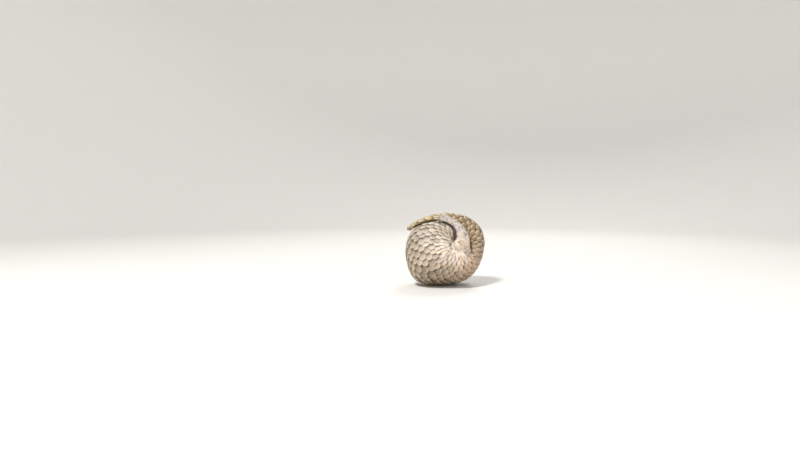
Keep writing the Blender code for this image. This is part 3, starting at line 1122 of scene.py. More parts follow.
@dataclass
class Effects:
    """Node groups that more than one finish uses, each built once."""

    built: dict[str, bpy.types.NodeTree] = field(default_factory=dict)

    def group(self, name: str, inputs: dict[str, float], outputs: tuple[str, ...]) -> Graph | None:
        """Starts a group.

        Args:
            name: its name.
            inputs: its inputs' first values.
            outputs: its outputs' names.

        Returns:
            Its graph, or nothing if it is there.
        """
        if name in self.built:
            return None
        tree = bpy.data.node_groups.new(name, "ShaderNodeTree")
        for label, value in inputs.items():
            socket = tree.interface.new_socket(label, in_out="INPUT", socket_type="NodeSocketFloat")
            socket.default_value = value
        for label in outputs:
            tree.interface.new_socket(label, in_out="OUTPUT", socket_type="NodeSocketFloat")
        self.built[name] = tree
        return Graph(tree)

    def streaks(self) -> bpy.types.NodeTree:
        """Grooves that run along horn, strong at its root and worn away at its tip.

        Returns:
            The group.
        """
        sockets = {"Across": 0.5, "Along": 0.5, "Seed": 0.0, "Lines": 24.0, "Worn": 0.8}
        graph = self.group("horn_streaks", sockets, ("Height", "Shade"))
        if graph:
            given = graph.add("NodeGroupInput").outputs
            fan = graph.sums("SUBTRACT", given["Across"], 0.5)
            spread = graph.fit(given["Along"], 0.0, 1.0, 1.25, 0.95)
            line = graph.sums("MULTIPLY", graph.sums("MULTIPLY", fan, spread), given["Lines"])
            shift = graph.sums("MULTIPLY", given["Seed"], 37.0)
            place = graph.add("CombineXYZ", X=line, Y=graph.sums("MULTIPLY", given["Along"], 1.7), Z=shift)
            fine = graph.add("TexNoise", Vector=place.outputs[0], Scale=1.0, Detail=2.5, Roughness=0.6)
            kept = graph.fit(given["Along"], 0.35, given["Worn"], 1.0, 0.18)
            ridge = graph.sums("SUBTRACT", fine.outputs[0], 0.5)
            done = graph.add("NodeGroupOutput")
            graph.tree.links.new(graph.sums("MULTIPLY", ridge, kept), done.inputs["Height"])
            graph.tree.links.new(fine.outputs[0], done.inputs["Shade"])
        return self.built["horn_streaks"]

    def growth(self) -> bpy.types.NodeTree:
        """Faint steps across horn, parallel to its free edge, from the way it grows.

        Returns:
            The group.
        """
        sockets = {"Across": 0.5, "Along": 0.5, "Seed": 0.0, "Steps": 9.0}
        graph = self.group("growth_steps", sockets, ("Height",))
        if graph:
            given = graph.add("NodeGroupInput").outputs
            fan = graph.sums("SUBTRACT", given["Across"], 0.5)
            bow = graph.sums("MULTIPLY", graph.sums("MULTIPLY", fan, fan), 1.5)
            reach = graph.sums("MULTIPLY", graph.sums("ADD", given["Along"], bow), given["Steps"])
            shift = graph.sums("MULTIPLY", given["Seed"], 19.0)
            place = graph.add("CombineXYZ", X=graph.sums("MULTIPLY", fan, 1.5), Y=reach, Z=shift)
            wave = graph.add("TexNoise", Vector=place.outputs[0], Scale=1.0, Detail=1.5)
            done = graph.add("NodeGroupOutput")
            graph.tree.links.new(graph.sums("SUBTRACT", wave.outputs[0], 0.5), done.inputs["Height"])
        return self.built["growth_steps"]

    def mottle(self) -> bpy.types.NodeTree:
        """Cloudy patches over the whole animal, as of dust and stain.

        Returns:
            The group.
        """
        graph = self.group("mottle", {"Scale": 60.0, "Low": 0.4, "High": 0.65}, ("Mask",))
        if graph:
            given = graph.add("NodeGroupInput").outputs
            where = graph.add("TexCoord").outputs["Object"]
            cloud = graph.add("TexNoise", Vector=where, Scale=given["Scale"], Detail=4.0, Roughness=0.62)
            mask = graph.add("MapRange", {"interpolation_type": "SMOOTHSTEP"}, Value=cloud.outputs[0],
                             From_Min=given["Low"], From_Max=given["High"])
            done = graph.add("NodeGroupOutput")
            graph.tree.links.new(mask.outputs[0], done.inputs["Mask"])
        return self.built["mottle"]


@dataclass(frozen=True)
class ScaleFinish:
    """Dull horn, grooved along, with painted shade at the root where the scale before covers it, and a pale
    rim that is partly worn and partly a painted highlight.
    """

    name: str
    # The root colour is the painted shade where the scale before covers this one.
    root: Colour = (0.30, 0.21, 0.13)
    # The pale rim is partly real wear of the horn and partly a painted highlight along the free edge.
    rim: Colour = (0.80, 0.71, 0.58)
    rim_wear_and_highlight: float = 0.6
    lines: float = 30.0
    groove: float = 0.55
    roughness: float = 0.36

    def build(self, effects: Effects) -> bpy.types.Material:
        """Makes the material.

        Args:
            effects: the shared node groups.

        Returns:
            The material.
        """
        material, graph, shader = new_material(self.name)
        place, tone, base = graph.shield(), graph.read("tone"), graph.read("marking", "Color")
        streak = graph.shared(
            effects.streaks(), Across=place[0], Along=place[1], Seed=tone, Lines=self.lines)
        growth = graph.shared(effects.growth(), Across=place[0], Along=place[1], Seed=tone)
        dust = graph.shared(effects.mottle(), Scale=95.0, Low=0.42, High=0.70)[0]
        stain = graph.shared(effects.mottle(), Scale=30.0, Low=0.45, High=0.72)[0]
        shade = graph.fit(streak["Shade"], 0.30, 0.70, 0.80, 1.14)
        each = graph.fit(tone, 0.0, 1.0, 0.78, 1.20)
        hue = graph.sums("FRACT", graph.sums("MULTIPLY", tone, 7.3))
        tint = graph.mix(hue, (1.06, 0.99, 0.88, 1), (0.96, 1.0, 1.06, 1))
        body = graph.mix(1.0, base, tint, "MULTIPLY")
        body = graph.shaded(body, graph.sums("MULTIPLY", shade, each))
        # Painted shade: the covered part of each scale, near its root, is darkened towards the root colour.
        painted_shade = graph.mix(0.85, body, rgba(self.root), "MULTIPLY")
        body = graph.mix(graph.fit(place[1], 0.34, 0.70, 1.0, 0.0), body, painted_shade)
        stained = graph.mix(1.0, body, (0.74, 0.66, 0.52, 1), "MULTIPLY")
        body = graph.mix(graph.sums("MULTIPLY", stain, 0.35), body, stained)
        # Pale rim along the free edge: partly wear, partly a painted highlight where the edge catches the
        # light.
        aside = graph.sums("ABSOLUTE", graph.sums("SUBTRACT", place[0], 0.5))
        bow = graph.sums("MULTIPLY", graph.sums("POWER", aside, 2.0), 0.55)
        edge = graph.fit(graph.sums("ADD", bow, place[1]), 0.80, 1.0)
        edge = graph.sums("MULTIPLY", edge, graph.fit(streak["Shade"], 0.25, 0.6, 0.5, 1.0))
        body = graph.mix(graph.sums("MULTIPLY", edge, self.rim_wear_and_highlight), body, rgba(self.rim))
        body = graph.mix(graph.sums("MULTIPLY", dust, 0.22), body, (0.55, 0.47, 0.38, 1))
        link = graph.tree.links.new
        link(body, shader.inputs["Base Color"])
        rough = graph.fit(streak["Shade"], 0.3, 0.7, self.roughness + 0.14, self.roughness - 0.04)
        link(graph.sums("ADD", rough, graph.sums("MULTIPLY", dust, 0.14)), shader.inputs["Roughness"])
        height = graph.sums("ADD", streak["Height"], graph.sums("MULTIPLY", growth["Height"], 0.45))
        bump = graph.add("Bump", Strength=self.groove, Distance=0.0011, Height=height)
        link(bump.outputs[0], shader.inputs["Normal"])
        return material


@dataclass(frozen=True)
class SkinFinish:
    """Soft skin, finely wrinkled: pale and pinkish where it is bare, with painted shade, nearly black, under
    the scales and in the creases between parts.
    """

    name: str = "bare_skin"
    # The colour of the painted shade under the scales and in the creases.
    between: Colour = (0.045, 0.030, 0.021)

    def build(self, effects: Effects) -> bpy.types.Material:
        """Makes the material.

        Args:
            effects: the shared node groups.

        Returns:
            The material.
        """
        material, graph, shader = new_material(self.name)
        base, coat, deep = graph.read("marking", "Color"), graph.read("coat"), graph.read("fold")
        where = graph.add("TexCoord").outputs["Object"]
        blotch = graph.shared(effects.mottle(), Scale=45.0, Low=0.35, High=0.70)[0]
        grain = graph.add("TexNoise", Vector=where, Scale=900.0, Detail=3.0).outputs[0]
        fold = graph.add("TexNoise", Vector=where, Scale=330.0, Detail=2.0, Distortion=1.2).outputs[0]
        flushed = graph.mix(1.0, base, (0.86, 0.72, 0.66, 1), "MULTIPLY")
        warm = graph.mix(graph.sums("MULTIPLY", blotch, 0.3), base, flushed)
        # Painted shade in the hollows of the fine wrinkles.
        wrinkle_shaded = graph.mix(graph.fit(fold, 0.36, 0.56, 0.22, 0.0), warm, (0.34, 0.23, 0.18, 1))
        link = graph.tree.links.new
        # Painted shade: the skin goes nearly black where scales cover it and in the creases, where shade
        # falls.
        painted_shade = graph.sums("MULTIPLY", graph.sums("MAXIMUM", coat, deep), 0.9)
        link(graph.mix(painted_shade, wrinkle_shaded, rgba(self.between)), shader.inputs["Base Color"])
        link(graph.fit(grain, 0.3, 0.7, 0.50, 0.70), shader.inputs["Roughness"])
        height = graph.sums("ADD", fold, graph.sums("MULTIPLY", grain, 0.3))
        bump = graph.add("Bump", Strength=0.4, Distance=0.0006, Height=height)
        link(bump.outputs[0], shader.inputs["Normal"])
        return material


@dataclass(frozen=True)
class ClawFinish:
    """Smooth horn, grooved along, darker at the root and paler at the tip."""

    name: str = "claw_horn"
    root: Colour = (0.46, 0.37, 0.27)
    tip: Colour = (0.84, 0.78, 0.66)

    def build(self, effects: Effects) -> bpy.types.Material:
        """Makes the material.

        Args:
            effects: the shared node groups.

        Returns:
            The material.
        """
        material, graph, shader = new_material(self.name)
        place = graph.shield()
        streak = graph.shared(
            effects.streaks(), Across=place[0], Along=place[1], Lines=18.0, Worn=1.0)
        dust = graph.shared(effects.mottle(), Scale=160.0, Low=0.4, High=0.7)[0]
        body = graph.mix(graph.fit(place[1], 0.25, 0.95), rgba(self.root), rgba(self.tip))
        body = graph.shaded(body, graph.fit(streak["Shade"], 0.3, 0.7, 0.78, 1.1))
        body = graph.mix(graph.sums("MULTIPLY", dust, 0.3), body, (0.40, 0.31, 0.22, 1))
        link = graph.tree.links.new
        link(body, shader.inputs["Base Color"])
        link(graph.fit(dust, 0.0, 1.0, 0.28, 0.5), shader.inputs["Roughness"])
        bump = graph.add("Bump", Strength=0.35, Distance=0.0005, Height=streak["Height"])
        link(bump.outputs[0], shader.inputs["Normal"])
        return material


@dataclass(frozen=True)
class EyeFinish:
    """A wet, nearly black eye with a brown iris that only shows close by."""

    name: str = "wet_eye"

    def build(self, effects: Effects) -> bpy.types.Material:
        """Makes the material.

        Args:
            effects: the shared node groups.

        Returns:
            The material.
        """
        material, graph, shader = new_material(self.name)
        along = graph.shield()[1]
        fleck = graph.shared(effects.mottle(), Scale=900.0, Low=0.35, High=0.7)[0]
        iris = graph.sums("MULTIPLY", graph.fit(along, 0.10, 0.13), graph.fit(along, 0.26, 0.20))
        iris = graph.sums("MULTIPLY", iris, graph.fit(fleck, 0.0, 1.0, 0.5, 1.0))
        body = graph.mix(iris, (0.006, 0.005, 0.004, 1), (0.050, 0.026, 0.012, 1))
        graph.tree.links.new(body, shader.inputs["Base Color"])
        shader.inputs["Roughness"].default_value = 0.07
        shader.inputs["Coat Weight"].default_value = 0.8
        shader.inputs["Coat Roughness"].default_value = 0.03
        return material


def new_material(name: str) -> tuple[bpy.types.Material, Graph, bpy.types.Node]:
    """Starts a material.

    Args:
        name: its name.

    Returns:
        The material, its graph and its Principled shader.
    """
    material = bpy.data.materials.new(name)
    material.use_nodes = True
    return material, Graph(material.node_tree), material.node_tree.nodes["Principled BSDF"]


def dress(thing: bpy.types.Object, material: bpy.types.Material) -> bpy.types.Object:
    """Gives a piece its finish, and lets it ride on the part's one body.

    Args:
        thing: the piece.
        material: its finish.

    Returns:
        The same piece.
    """
    thing.data.materials.clear()
    thing.data.materials.append(material)
    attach(thing, "root")
    LOG.info("%s: %d faces", thing.name, len(thing.data.polygons))
    return thing


@dataclass
class Claws:
    """The claws of one foot, at the end of its route, the middle one the longest."""

    foot: Limb
    nodes: str
    length: float
    thick: float
    toe_lengths: tuple[float, ...] = (0.62, 0.88, 1.0, 0.88, 0.6)
    toe_profile: tuple[tuple[float, float], ...] = (
        (-9, 0.6), (-7, 0.9), (-4, 1.0), (-1.5, 1.02), (0.6, 0.96), (1.8, 0.75), (2.3, 0.4))
    toe_radius: float = 2.9
    toe_drop: float = 0.3
    row_width: float = 0.78
    row_bow: float = 0.45
    splay: float = 0.28
    root_depth: float = 6.0
    bend: float = 0.8
    rings: int = 22
    sides: int = 16
    groove: float = 0.18

    def bases(self) -> list[tuple[np.ndarray, np.ndarray, float]]:
        """Sets out the claws in a bowed row.

        Returns:
            Each claw's root, its way out and its length.
        """
        end, before = np.array(self.foot.stops[-1], float), np.array(self.foot.stops[-2], float)
        onward = unit(end[:3] - before[:3])
        deep = unit(np.array((0, 0, 1.0)) - onward * onward[2])
        across = np.cross(onward, deep)
        found = []
        for k, share in enumerate(self.toe_lengths):
            aside = (k - 2) / 2
            root = end[:3] + across * end[3] * self.row_width * aside
            root = root + onward * end[4] * (1 - self.row_bow * aside * aside)
            found.append((root, unit(onward + across * aside * self.splay), self.length * share))
        return found

    def toes(self) -> list[bpy.types.Object]:
        """Makes the fleshy toes that the claws grow from, as closed meshes for the skin.

        Returns:
            The toes.
        """
        toes = []
        for k, (root, onward, _) in enumerate(self.bases()):
            hook = np.array((0, 0, -1.0)) * self.foot.side.value
            side = unit(np.cross(onward, hook))
            tall = np.cross(side, onward)
            around = np.linspace(0, 2 * math.pi, self.sides + 1)[:-1, None]
            ring = np.cos(around) * side * 0.95 + np.sin(around) * tall
            rings = [
                root + onward * way - hook * self.toe_drop + ring * self.toe_radius * size
                for way, size in self.toe_profile
            ]
            toes.append(closed_loft(f"{self.nodes}_toe_{k + 1}", np.stack(rings)))
        return toes

    def build(self, material: bpy.types.Material) -> bpy.types.Object:
        """Makes the claws as one piece in place of their nodes.

        Args:
            material: their finish.

        Returns:
            The piece.
        """
        hook = np.array((0, 0, -1.0)) * self.foot.side.value
        around = np.linspace(0, 2 * math.pi, self.sides + 1)[:, None]
        groove = 1 - self.groove * np.clip(np.sin(around), 0, 1) ** 4
        shares = np.linspace(0, 1, self.rings) ** 0.85
        patch = np.stack(np.meshgrid(np.linspace(0, 1, len(around)), [*shares, 1.0]), -1)
        points, quads = [], []
        for root, onward, length in self.bases():
            side = unit(np.cross(onward, hook))
            start, whole = root - onward * self.root_depth, length + self.root_depth
            rows = []
            for share in shares:
                turn = self.bend * share
                place = start + onward * whole * math.sin(turn) / self.bend
                place = place + hook * whole * (1 - math.cos(turn)) / self.bend
                tall = hook * math.cos(turn) - onward * math.sin(turn)
                size = self.thick * (1 - share) ** 0.5 + 0.2
                rows.append(place + (side * 0.8 * np.cos(around) + tall * np.sin(around) * groove) * size)
            rows.append(np.repeat(rows[-1].mean(0)[None], len(around), 0))
            quads.append(strip_quads(len(rows), len(around)) + sum(len(p) for p in points))
            points.append(np.concatenate(rows))
        name = self.nodes.replace("claw", "claws")
        piece = mesh_piece(name, COIL.to_world(np.concatenate(points)), np.concatenate(quads))
        add_map(piece, "shield", np.tile(patch.reshape(-1, 2), (len(points), 1)))
        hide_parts(*[f"{self.nodes}_{k}" for k in range(1, 6)])
        return dress(piece, material)


@dataclass
class Eye:
    """One eyeball with its cornea, in place of its node."""

    head: Head
    side: Side
    bulge: float = 0.05
    bulge_reach: float = 0.5
    columns: int = 33
    rows: int = 25

    def build(self, material: bpy.types.Material) -> bpy.types.Object:
        """Makes the eyeball.

        Args:
            material: its finish.

        Returns:
            The piece.
        """
        _, way, crown, left = self.head.axes()
        gaze = left * -self.side.value
        fore = unit(way)
        turns, tilts = np.linspace(0, 2 * math.pi, self.columns), np.linspace(0, math.pi, self.rows)
        ring = np.cos(turns)[:, None] * fore + np.sin(turns)[:, None] * crown
        rows = []
        for tilt in tilts:
            bulge = self.bulge * math.exp(-((tilt / self.bulge_reach) ** 2))
            out = math.cos(tilt) * gaze + math.sin(tilt) * ring
            rows.append(self.head.eye_centre(self.side) + out * self.head.eye_radius * (1 + bulge))
        points = np.concatenate(rows)
        name = "right" if self.side is Side.RIGHT else "left"
        piece = mesh_piece(f"eyeball_{name}", COIL.to_world(points), strip_quads(len(tilts), len(turns)))
        places = np.stack(np.meshgrid(np.linspace(0, 1, self.columns), tilts / math.pi), -1)
        add_map(piece, "shield", places.reshape(-1, 2))
        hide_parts(f"eye_{name}")
        return dress(piece, material)


def even_rows(count: int, gap: float) -> tuple[float, ...]:
    """Rows of scales at even places, so many on each side of the middle one."""
    return tuple(np.arange(-count, count + 1) * gap)


def ring_rows(count: int) -> tuple[float, ...]:
    """Rows of scales all the way round a part, so many on each half."""
    return tuple(np.arange(-count, count) / count)


@dataclass
class Animal:
    """The whole body: its spiral, head and limbs, and the lattices of scales on them."""

    spiral: Spiral = field(default_factory=Spiral)
    head: Head = field(default_factory=Head)
    trunk_inset: float = 3.3
    tail_inset: float = 3.0
    legs: tuple[Limb, ...] = (
        Limb("hind_leg_right", Side.RIGHT, (
            (16, -46, 28, 24, 20), (10, -25, 39, 25, 23), (9.5, -5, 43.5, 25, 20.5),
            (14.5, 14, 43.5, 18.5, 18.5), (10.5, 32, 42, 14.5, 15), (3, 46, 41, 12, 12)), crease_start=0.53),
        Limb("hind_leg_left", Side.LEFT, (
            (28, -48, -28, 21, 20), (38, -28, -42, 19, 18), (42, -8, -48, 15, 15), (41, 10, -50, 12.5, 12),
            (36, 25, -50, 11, 10))),
        Limb("foreleg_right", Side.RIGHT, (
            (-22, 30, 24, 12, 12), (-15, 16, 26, 11, 10), (-9, 2, 24, 9.5, 9)), 1.6),
        Limb("foreleg_left", Side.LEFT, (
            (-24, 30, -34, 12, 12), (-19, 16, -44, 11, 10), (-13, 2, -50, 9.5, 9)), 1.6),
    )
    feet: tuple[Limb, ...] = (
        Limb("hind_foot_right", Side.RIGHT, (
            (3, 45, 41, 11, 10), (-12, 56, 40, 11.5, 9), (-27, 62, 39, 11, 7.5)), 1.2),
        Limb("hind_foot_left", Side.LEFT, (
            (36, 24, -50, 10, 9), (30, 38, -49, 10.5, 8), (20, 49, -46, 10, 7)), 1.2),
        Limb("forefoot_right", Side.RIGHT, (
            (-9, 3, 24, 9, 8), (-6, -8, 18, 9, 6.5), (-3, -16, 12, 8.5, 5)), 1.2),
        Limb("forefoot_left", Side.LEFT, (
            (-13, 3, -50, 9, 8), (-9, -9, -54, 9.5, 7), (-5, -19, -57, 9, 5.5)), 1.2),
    )
    neck: Limb = field(default_factory=lambda: Limb("neck", Side.LEFT, (
        (-8, 28, -4, 19, 23), (0, 29, -13, 18.5, 20), (6, 22, -24, 16.5, 17)), 1.6))
    web: Limb = field(default_factory=lambda: Limb("flank_web", Side.RIGHT, (
        (8, -34, 37, 24, 25), (1, -20, 40, 24, 23), (-3, -9, 40, 19, 21), (-5, 0, 39, 16, 20)), 1.6, 0.5))
    trunk_span: tuple[float, float] = (70.0, 336.0)
    tail_span: tuple[float, float] = (318.0, 513.0)
    row_step: float = 11.5
    flank_rows: int = 17
    flank_reach: float = 0.95
    flank_bow: float = 1.25

    def claws(self) -> list[Claws]:
        """The claws of the four feet."""
        names = ("hind_claw_right", "hind_claw_left", "fore_claw_right", "fore_claw_left")
        sizes = ((13.0, 2.3), (13.0, 2.3), (20.0, 2.8), (20.0, 2.8))
        return [Claws(foot, name, *size) for foot, name, size in zip(self.feet, names, sizes)]

    def forms(self) -> list[bpy.types.Object]:
        """Makes every closed mesh whose union the skin is.

        Returns:
            The meshes.
        """
        forms = self.spiral.lofts(self.trunk_inset, self.tail_inset)
        forms += self.head.lofts()
        forms += [limb.loft() for limb in (*self.legs, *self.feet, self.neck, self.web)]
        for claws in self.claws():
            forms += claws.toes()
        return forms

    def fields(self) -> dict[str, list[Field]]:
        """Sets out all the lattices of scales.

        Returns:
            The lattices, by the piece of coat that they make up.
        """
        large = ScaleShape()
        middling = ScaleShape(thickness=1.1, tip_height=2.7, camber=0.7, keel=0.3)
        small = ScaleShape(
            columns=(-1, -0.85, -0.45, 0, 0.45, 0.85, 1), rows=(0, 0.25, 0.46, 0.64, 0.78, 0.89, 0.96, 1),
            thickness=0.75, root_height=-0.8, tip_height=1.85, camber=0.45)
        finest = ScaleShape(
            columns=small.columns, rows=(0, 0.22, 0.42, 0.6, 0.76, 0.89, 1), thickness=0.5,
            root_height=-0.5, tip_height=1.0, camber=0.3)
        made = self.trunk_fields(large)
        tail = self.spiral.hide(*self.tail_span, self.tail_inset, closed_tip=True)
        made["scales_tail"] = [
            Field(tail, middling, ring_rows(9), 0.02, 0.56, 8, Part.TAIL, longest=34),
            Field(tail, middling, ring_rows(6), 0.56, 0.97, 8, Part.TAIL, longest=26),
        ]
        made["scales_legs"] = [
            Field(
                limb.hide(), small, even_rows(6, 0.12), 0.02, 1 - 1.3 * limb.cap(), count, Part.LEG,
                width=1.5, overlap=1.9)
            for limb, count in zip(self.legs, (12, 10, 6, 6))
        ]
        made["scales_legs"].append(Field(
            self.web.hide(), small, even_rows(5, 0.11), 0.2, 0.95, 8, Part.WEB, width=1.5, overlap=1.9))
        made["scales_feet"] = [
            Field(
                limb.hide(), finest, even_rows(4, 0.115), limb.cap(), 0.95, 7, Part.LEG,
                overlap=1.7, veil=0.6)
            for limb in self.feet
        ]
        face, neck = self.head.hide(), self.neck.hide()
        made["scales_head"] = [
            Field(face, finest, even_rows(5, 0.085), 0.30, 0.56, 5, Part.HEAD, overlap=1.6, veil=0.3),
            Field(face, finest, even_rows(6, 0.095), 0.56, 0.97, 6, Part.HEAD, overlap=1.6, veil=0.3),
            Field(neck, small, ring_rows(6), 0.05, 0.9, 5, Part.HEAD),
        ]
        return made

    def trunk_fields(self, shape: ScaleShape) -> dict[str, list[Field]]:
        """The three lengths of the trunk's lattice, whose rows lie closer together towards the flanks.

        Args:
            shape: how its scales are formed.

        Returns:
            A lattice for each length.
        """
        stops = [1 - k / self.flank_rows for k in range(self.flank_rows)]
        flank = [self.flank_reach * (1 - stop**self.flank_bow) for stop in stops]
        shares = tuple([-share for share in flank[1:]] + flank)
        hide = self.spiral.hide(*self.trunk_span, self.trunk_inset)
        reach = self.trunk_span[1] - self.trunk_span[0]
        made = {}
        for name, start, end in (("shoulders", 0.02, 0.30), ("middle", 0.30, 0.64), ("rump", 0.64, 0.96)):
            count = round((end - start) * reach / self.row_step)
            made[f"scales_{name}"] = [Field(hide, shape, shares, start, end, count, Part.TRUNK)]
        return made


@dataclass
class Folds:
    """The creases between parts of the body that touch, into which the skin and the scales sink."""

    forms: dict[Part, BVHTree]
    depth: float = 5.0
    reach: float = 3.4
    trunk_span: tuple[float, float] = (77.0, 300.0)
    tail_start: float = 345.0

    @classmethod
    def of(cls, animal: Animal) -> "Folds":
        """Finds the parts: the trunk, the tail that lies on it, and the limbs past their roots.

        Args:
            animal: the body.

        Returns:
            The folds between its parts.
        """
        spiral = animal.spiral
        rings = {
            Part.TRUNK: [spiral.rings(*cls.trunk_span, animal.trunk_inset)],
            Part.TAIL: [spiral.rings(cls.tail_start, spiral.stations[-1][0], animal.tail_inset)],
            Part.LEG: [limb.creased() for limb in (*animal.legs[:2], *animal.feet[:2])],
        }
        forms = {}
        for part, lofts in rings.items():
            points, quads, total = [], [], 0
            for loft in lofts:
                quads.append(strip_quads(*loft.shape[:2]) + total)
                points.append(loft.reshape(-1, 3))
                total += len(points[-1])
            corners, sides = np.concatenate(points).tolist(), np.concatenate(quads).tolist()
            forms[part] = BVHTree.FromPolygons(corners, sides)
        return cls(forms)

    def away(self, part: Part, points: np.ndarray) -> np.ndarray:
        """How far points are from one part."""
        tree = self.forms[part]
        return np.array([tree.find_nearest(Vector(point))[3] for point in points])

    def gaps(self, points: np.ndarray, part: Part | None = None) -> np.ndarray:
        """How far places are from the part that touches their own.

        Args:
            points: places on the body.
            part: the part that they belong to; without it, the nearest one.

        Returns:
            A distance in millimetres for each.
        """
        found = np.stack([self.away(other, points) for other in self.forms if other is not part])
        return found.min(0) if part else np.sort(found, axis=0)[1]

    def sink(self, gaps: np.ndarray) -> np.ndarray:
        """How deep places sink that are so far from the part that touches their own."""
        return self.depth * np.exp(-((gaps / self.reach) ** 2))


@dataclass
class Skin:
    """One skin over the whole body, inside the solids by the depth of the coat."""

    animal: Animal
    folds: Folds
    voxel: float = 1.4
    smoothing: int = 4
    face_start: float = 0.42
    face_size: float = 19.0
    fine_reach: float = 7.5
    sink_rounds: int = 6
    crease_shade_reach: tuple[float, float] = (4.0, 10.0)
    hue_rounds: int = 8
    coat_reach: tuple[float, float] = (0.55, 0.85)
    eye_room: tuple[float, float] = (5.5, 9.0)
    flesh: tuple[str, ...] = (
        "trunk_shoulders", "trunk_middle", "trunk_rump", "tail_base", "tail_middle", "tail_upper",
        "tail_end", "head", "neck", "ear_left", "ear_right", "hind_leg_right", "hind_leg_left",
        "foreleg_right", "foreleg_left", "hind_foot_right", "hind_foot_left", "forefoot_right",
        "forefoot_left",
    )

    def united(self) -> bpy.types.Mesh:
        """Makes one closed mesh round all the forms.

        Returns:
            The mesh, in the coil's frame.
        """
        forms = self.animal.forms()
        shape = bmesh.new()
        for form in forms:
            shape.from_mesh(form.data)
        mesh = bpy.data.meshes.new("skin")
        shape.to_mesh(mesh)
        shape.free()
        thing = bpy.data.objects.new("skin_forms", mesh)
        bpy.context.scene.collection.objects.link(thing)
        remesh = thing.modifiers.new("one_skin", "REMESH")
        remesh.mode = "VOXEL"
        remesh.voxel_size = self.voxel
        smooth = thing.modifiers.new("soften", "SMOOTH")
        smooth.iterations = self.smoothing
        smooth.factor = 0.5
        graph = bpy.context.evaluated_depsgraph_get()
        done = bpy.data.meshes.new_from_object(thing.evaluated_get(graph))
        for spare in (*forms, thing):
            bpy.data.objects.remove(spare)
        return done

    def refined(self, mesh: bpy.types.Mesh) -> None:
        """Cuts the skin of the face finer, most of all round the eyes, the nose and the mouth.

        Args:
            mesh: the skin.
        """
        head = self.animal.head
        for only_fine in (False, True):
            shape = bmesh.new()
            shape.from_mesh(mesh)
            middles = np.array([face.calc_center_median() for face in shape.faces])
            along, raised, aside = head.local(middles)
            off = np.maximum(np.abs(raised), np.abs(aside))
            chosen = (along > self.face_start) & (along < 1.1) & (off < self.face_size)
            if only_fine:
                fine = np.linalg.norm(middles - head.point(1.0, 0, 0), axis=1) < self.fine_reach + 1
                for side in Side:
                    away = np.linalg.norm(middles - head.eye_centre(side), axis=1)
                    fine |= away < self.fine_reach
                chosen &= fine
            shape.faces.ensure_lookup_table()
            edges = {edge for k in np.flatnonzero(chosen) for edge in shape.faces[k].edges}
            bmesh.ops.subdivide_edges(shape, edges=list(edges), cuts=1, use_grid_fill=True)
            shape.to_mesh(mesh)
            shape.free()

    def build(self, material: bpy.types.Material) -> tuple[bpy.types.Object, BVHTree]:
        """Makes the skin.

        Args:
            material: its finish.

        Returns:
            The piece, and its surface in the coil's frame as it is before it sinks into the folds.
        """
        mesh = self.united()
        self.refined(mesh)
        points = np.empty(len(mesh.vertices) * 3, np.float32)
        normals = np.empty(len(mesh.vertices) * 3, np.float32)
        mesh.vertices.foreach_get("co", points)
        mesh.vertex_normals.foreach_get("vector", normals)
        points, normals = points.reshape(-1, 3).astype(float), normals.reshape(-1, 3)
        points = self.animal.head.carve(points, normals)
        surface = BVHTree.FromPolygons(points.tolist(), [tuple(p.vertices) for p in mesh.polygons])
        gaps = self.folds.gaps(points)
        sunk = -normals * self.folds.sink(gaps)[:, None]
        points = points + blur(mesh, sunk, self.sink_rounds)
        mesh.vertices.foreach_set("co", points.astype(np.float32).ravel())
        self.add_lids(mesh)
        thing = bpy.data.objects.new("skin", mesh)
        bpy.context.scene.collection.objects.link(thing)
        lids = np.zeros(len(mesh.vertices) - len(gaps))
        # The fold attribute is the mask for painted shade in the creases between touching parts.
        add_values(thing, "fold", np.concatenate([1 - smoothstep(*self.crease_shade_reach, gaps), lids]))
        mesh.shade_smooth()
        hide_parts(*self.flesh)
        dress(thing, material)
        return thing, surface

    def add_lids(self, mesh: bpy.types.Mesh) -> None:
        """Joins the four lids to the skin."""
        shape = bmesh.new()
        shape.from_mesh(mesh)
        for side in Side:
            for upper in (True, False):
                points, quads = self.animal.head.lid_points(side, upper)
                made = [shape.verts.new(point) for point in points]
                faces = [shape.faces.new([made[k] for k in quad]) for quad in quads]
                bmesh.ops.recalc_face_normals(shape, faces=faces)
        shape.to_mesh(mesh)
        shape.free()

    def place(self, thing: bpy.types.Object, coat: "Coat") -> None:
        """Marks the skin as the coat over it is marked, marks where the scales cover it for the painted
        shade under them, and sets it in the world.

        Args:
            thing: the skin.
            coat: the coat over it, all of its pieces built.
        """
        roots, hues = np.concatenate(coat.middles), np.concatenate(coat.hues)
        spans, veils = np.concatenate(coat.spans), np.concatenate(coat.veils)
        count = len(thing.data.vertices)
        points = np.empty(count * 3, np.float32)
        thing.data.vertices.foreach_get("co", points)
        points = points.reshape(-1, 3).astype(float)
        tree = kdtree.KDTree(len(roots))
        for k, root in enumerate(roots):
            tree.insert(root, k)
        tree.balance()
        nearest = [tree.find(point) for point in points]
        which = np.array([n[1] for n in nearest])
        away = np.array([n[2] for n in nearest]) / np.maximum(spans[which], 1.0)
        covered = (1 - smoothstep(*self.coat_reach, away)) * veils[which]
        for side in Side:
            off = np.linalg.norm(points - self.animal.head.eye_centre(side), axis=1)
            covered *= smoothstep(*self.eye_room, off)
        covered = blur(thing.data, covered[:, None], self.hue_rounds)
        bare = coat.markings.colours(Part.BARE, points)
        colour = bare + (blur(thing.data, hues[which], self.hue_rounds) - bare) * covered
        # The coat attribute says where scales cover the skin; the skin's finish paints shade there.
        add_values(thing, "coat", covered[:, 0])
        add_values(thing, "marking", colour)
        thing.data.vertices.foreach_set("co", COIL.to_world(points).astype(np.float32).ravel())
        thing.data.update()


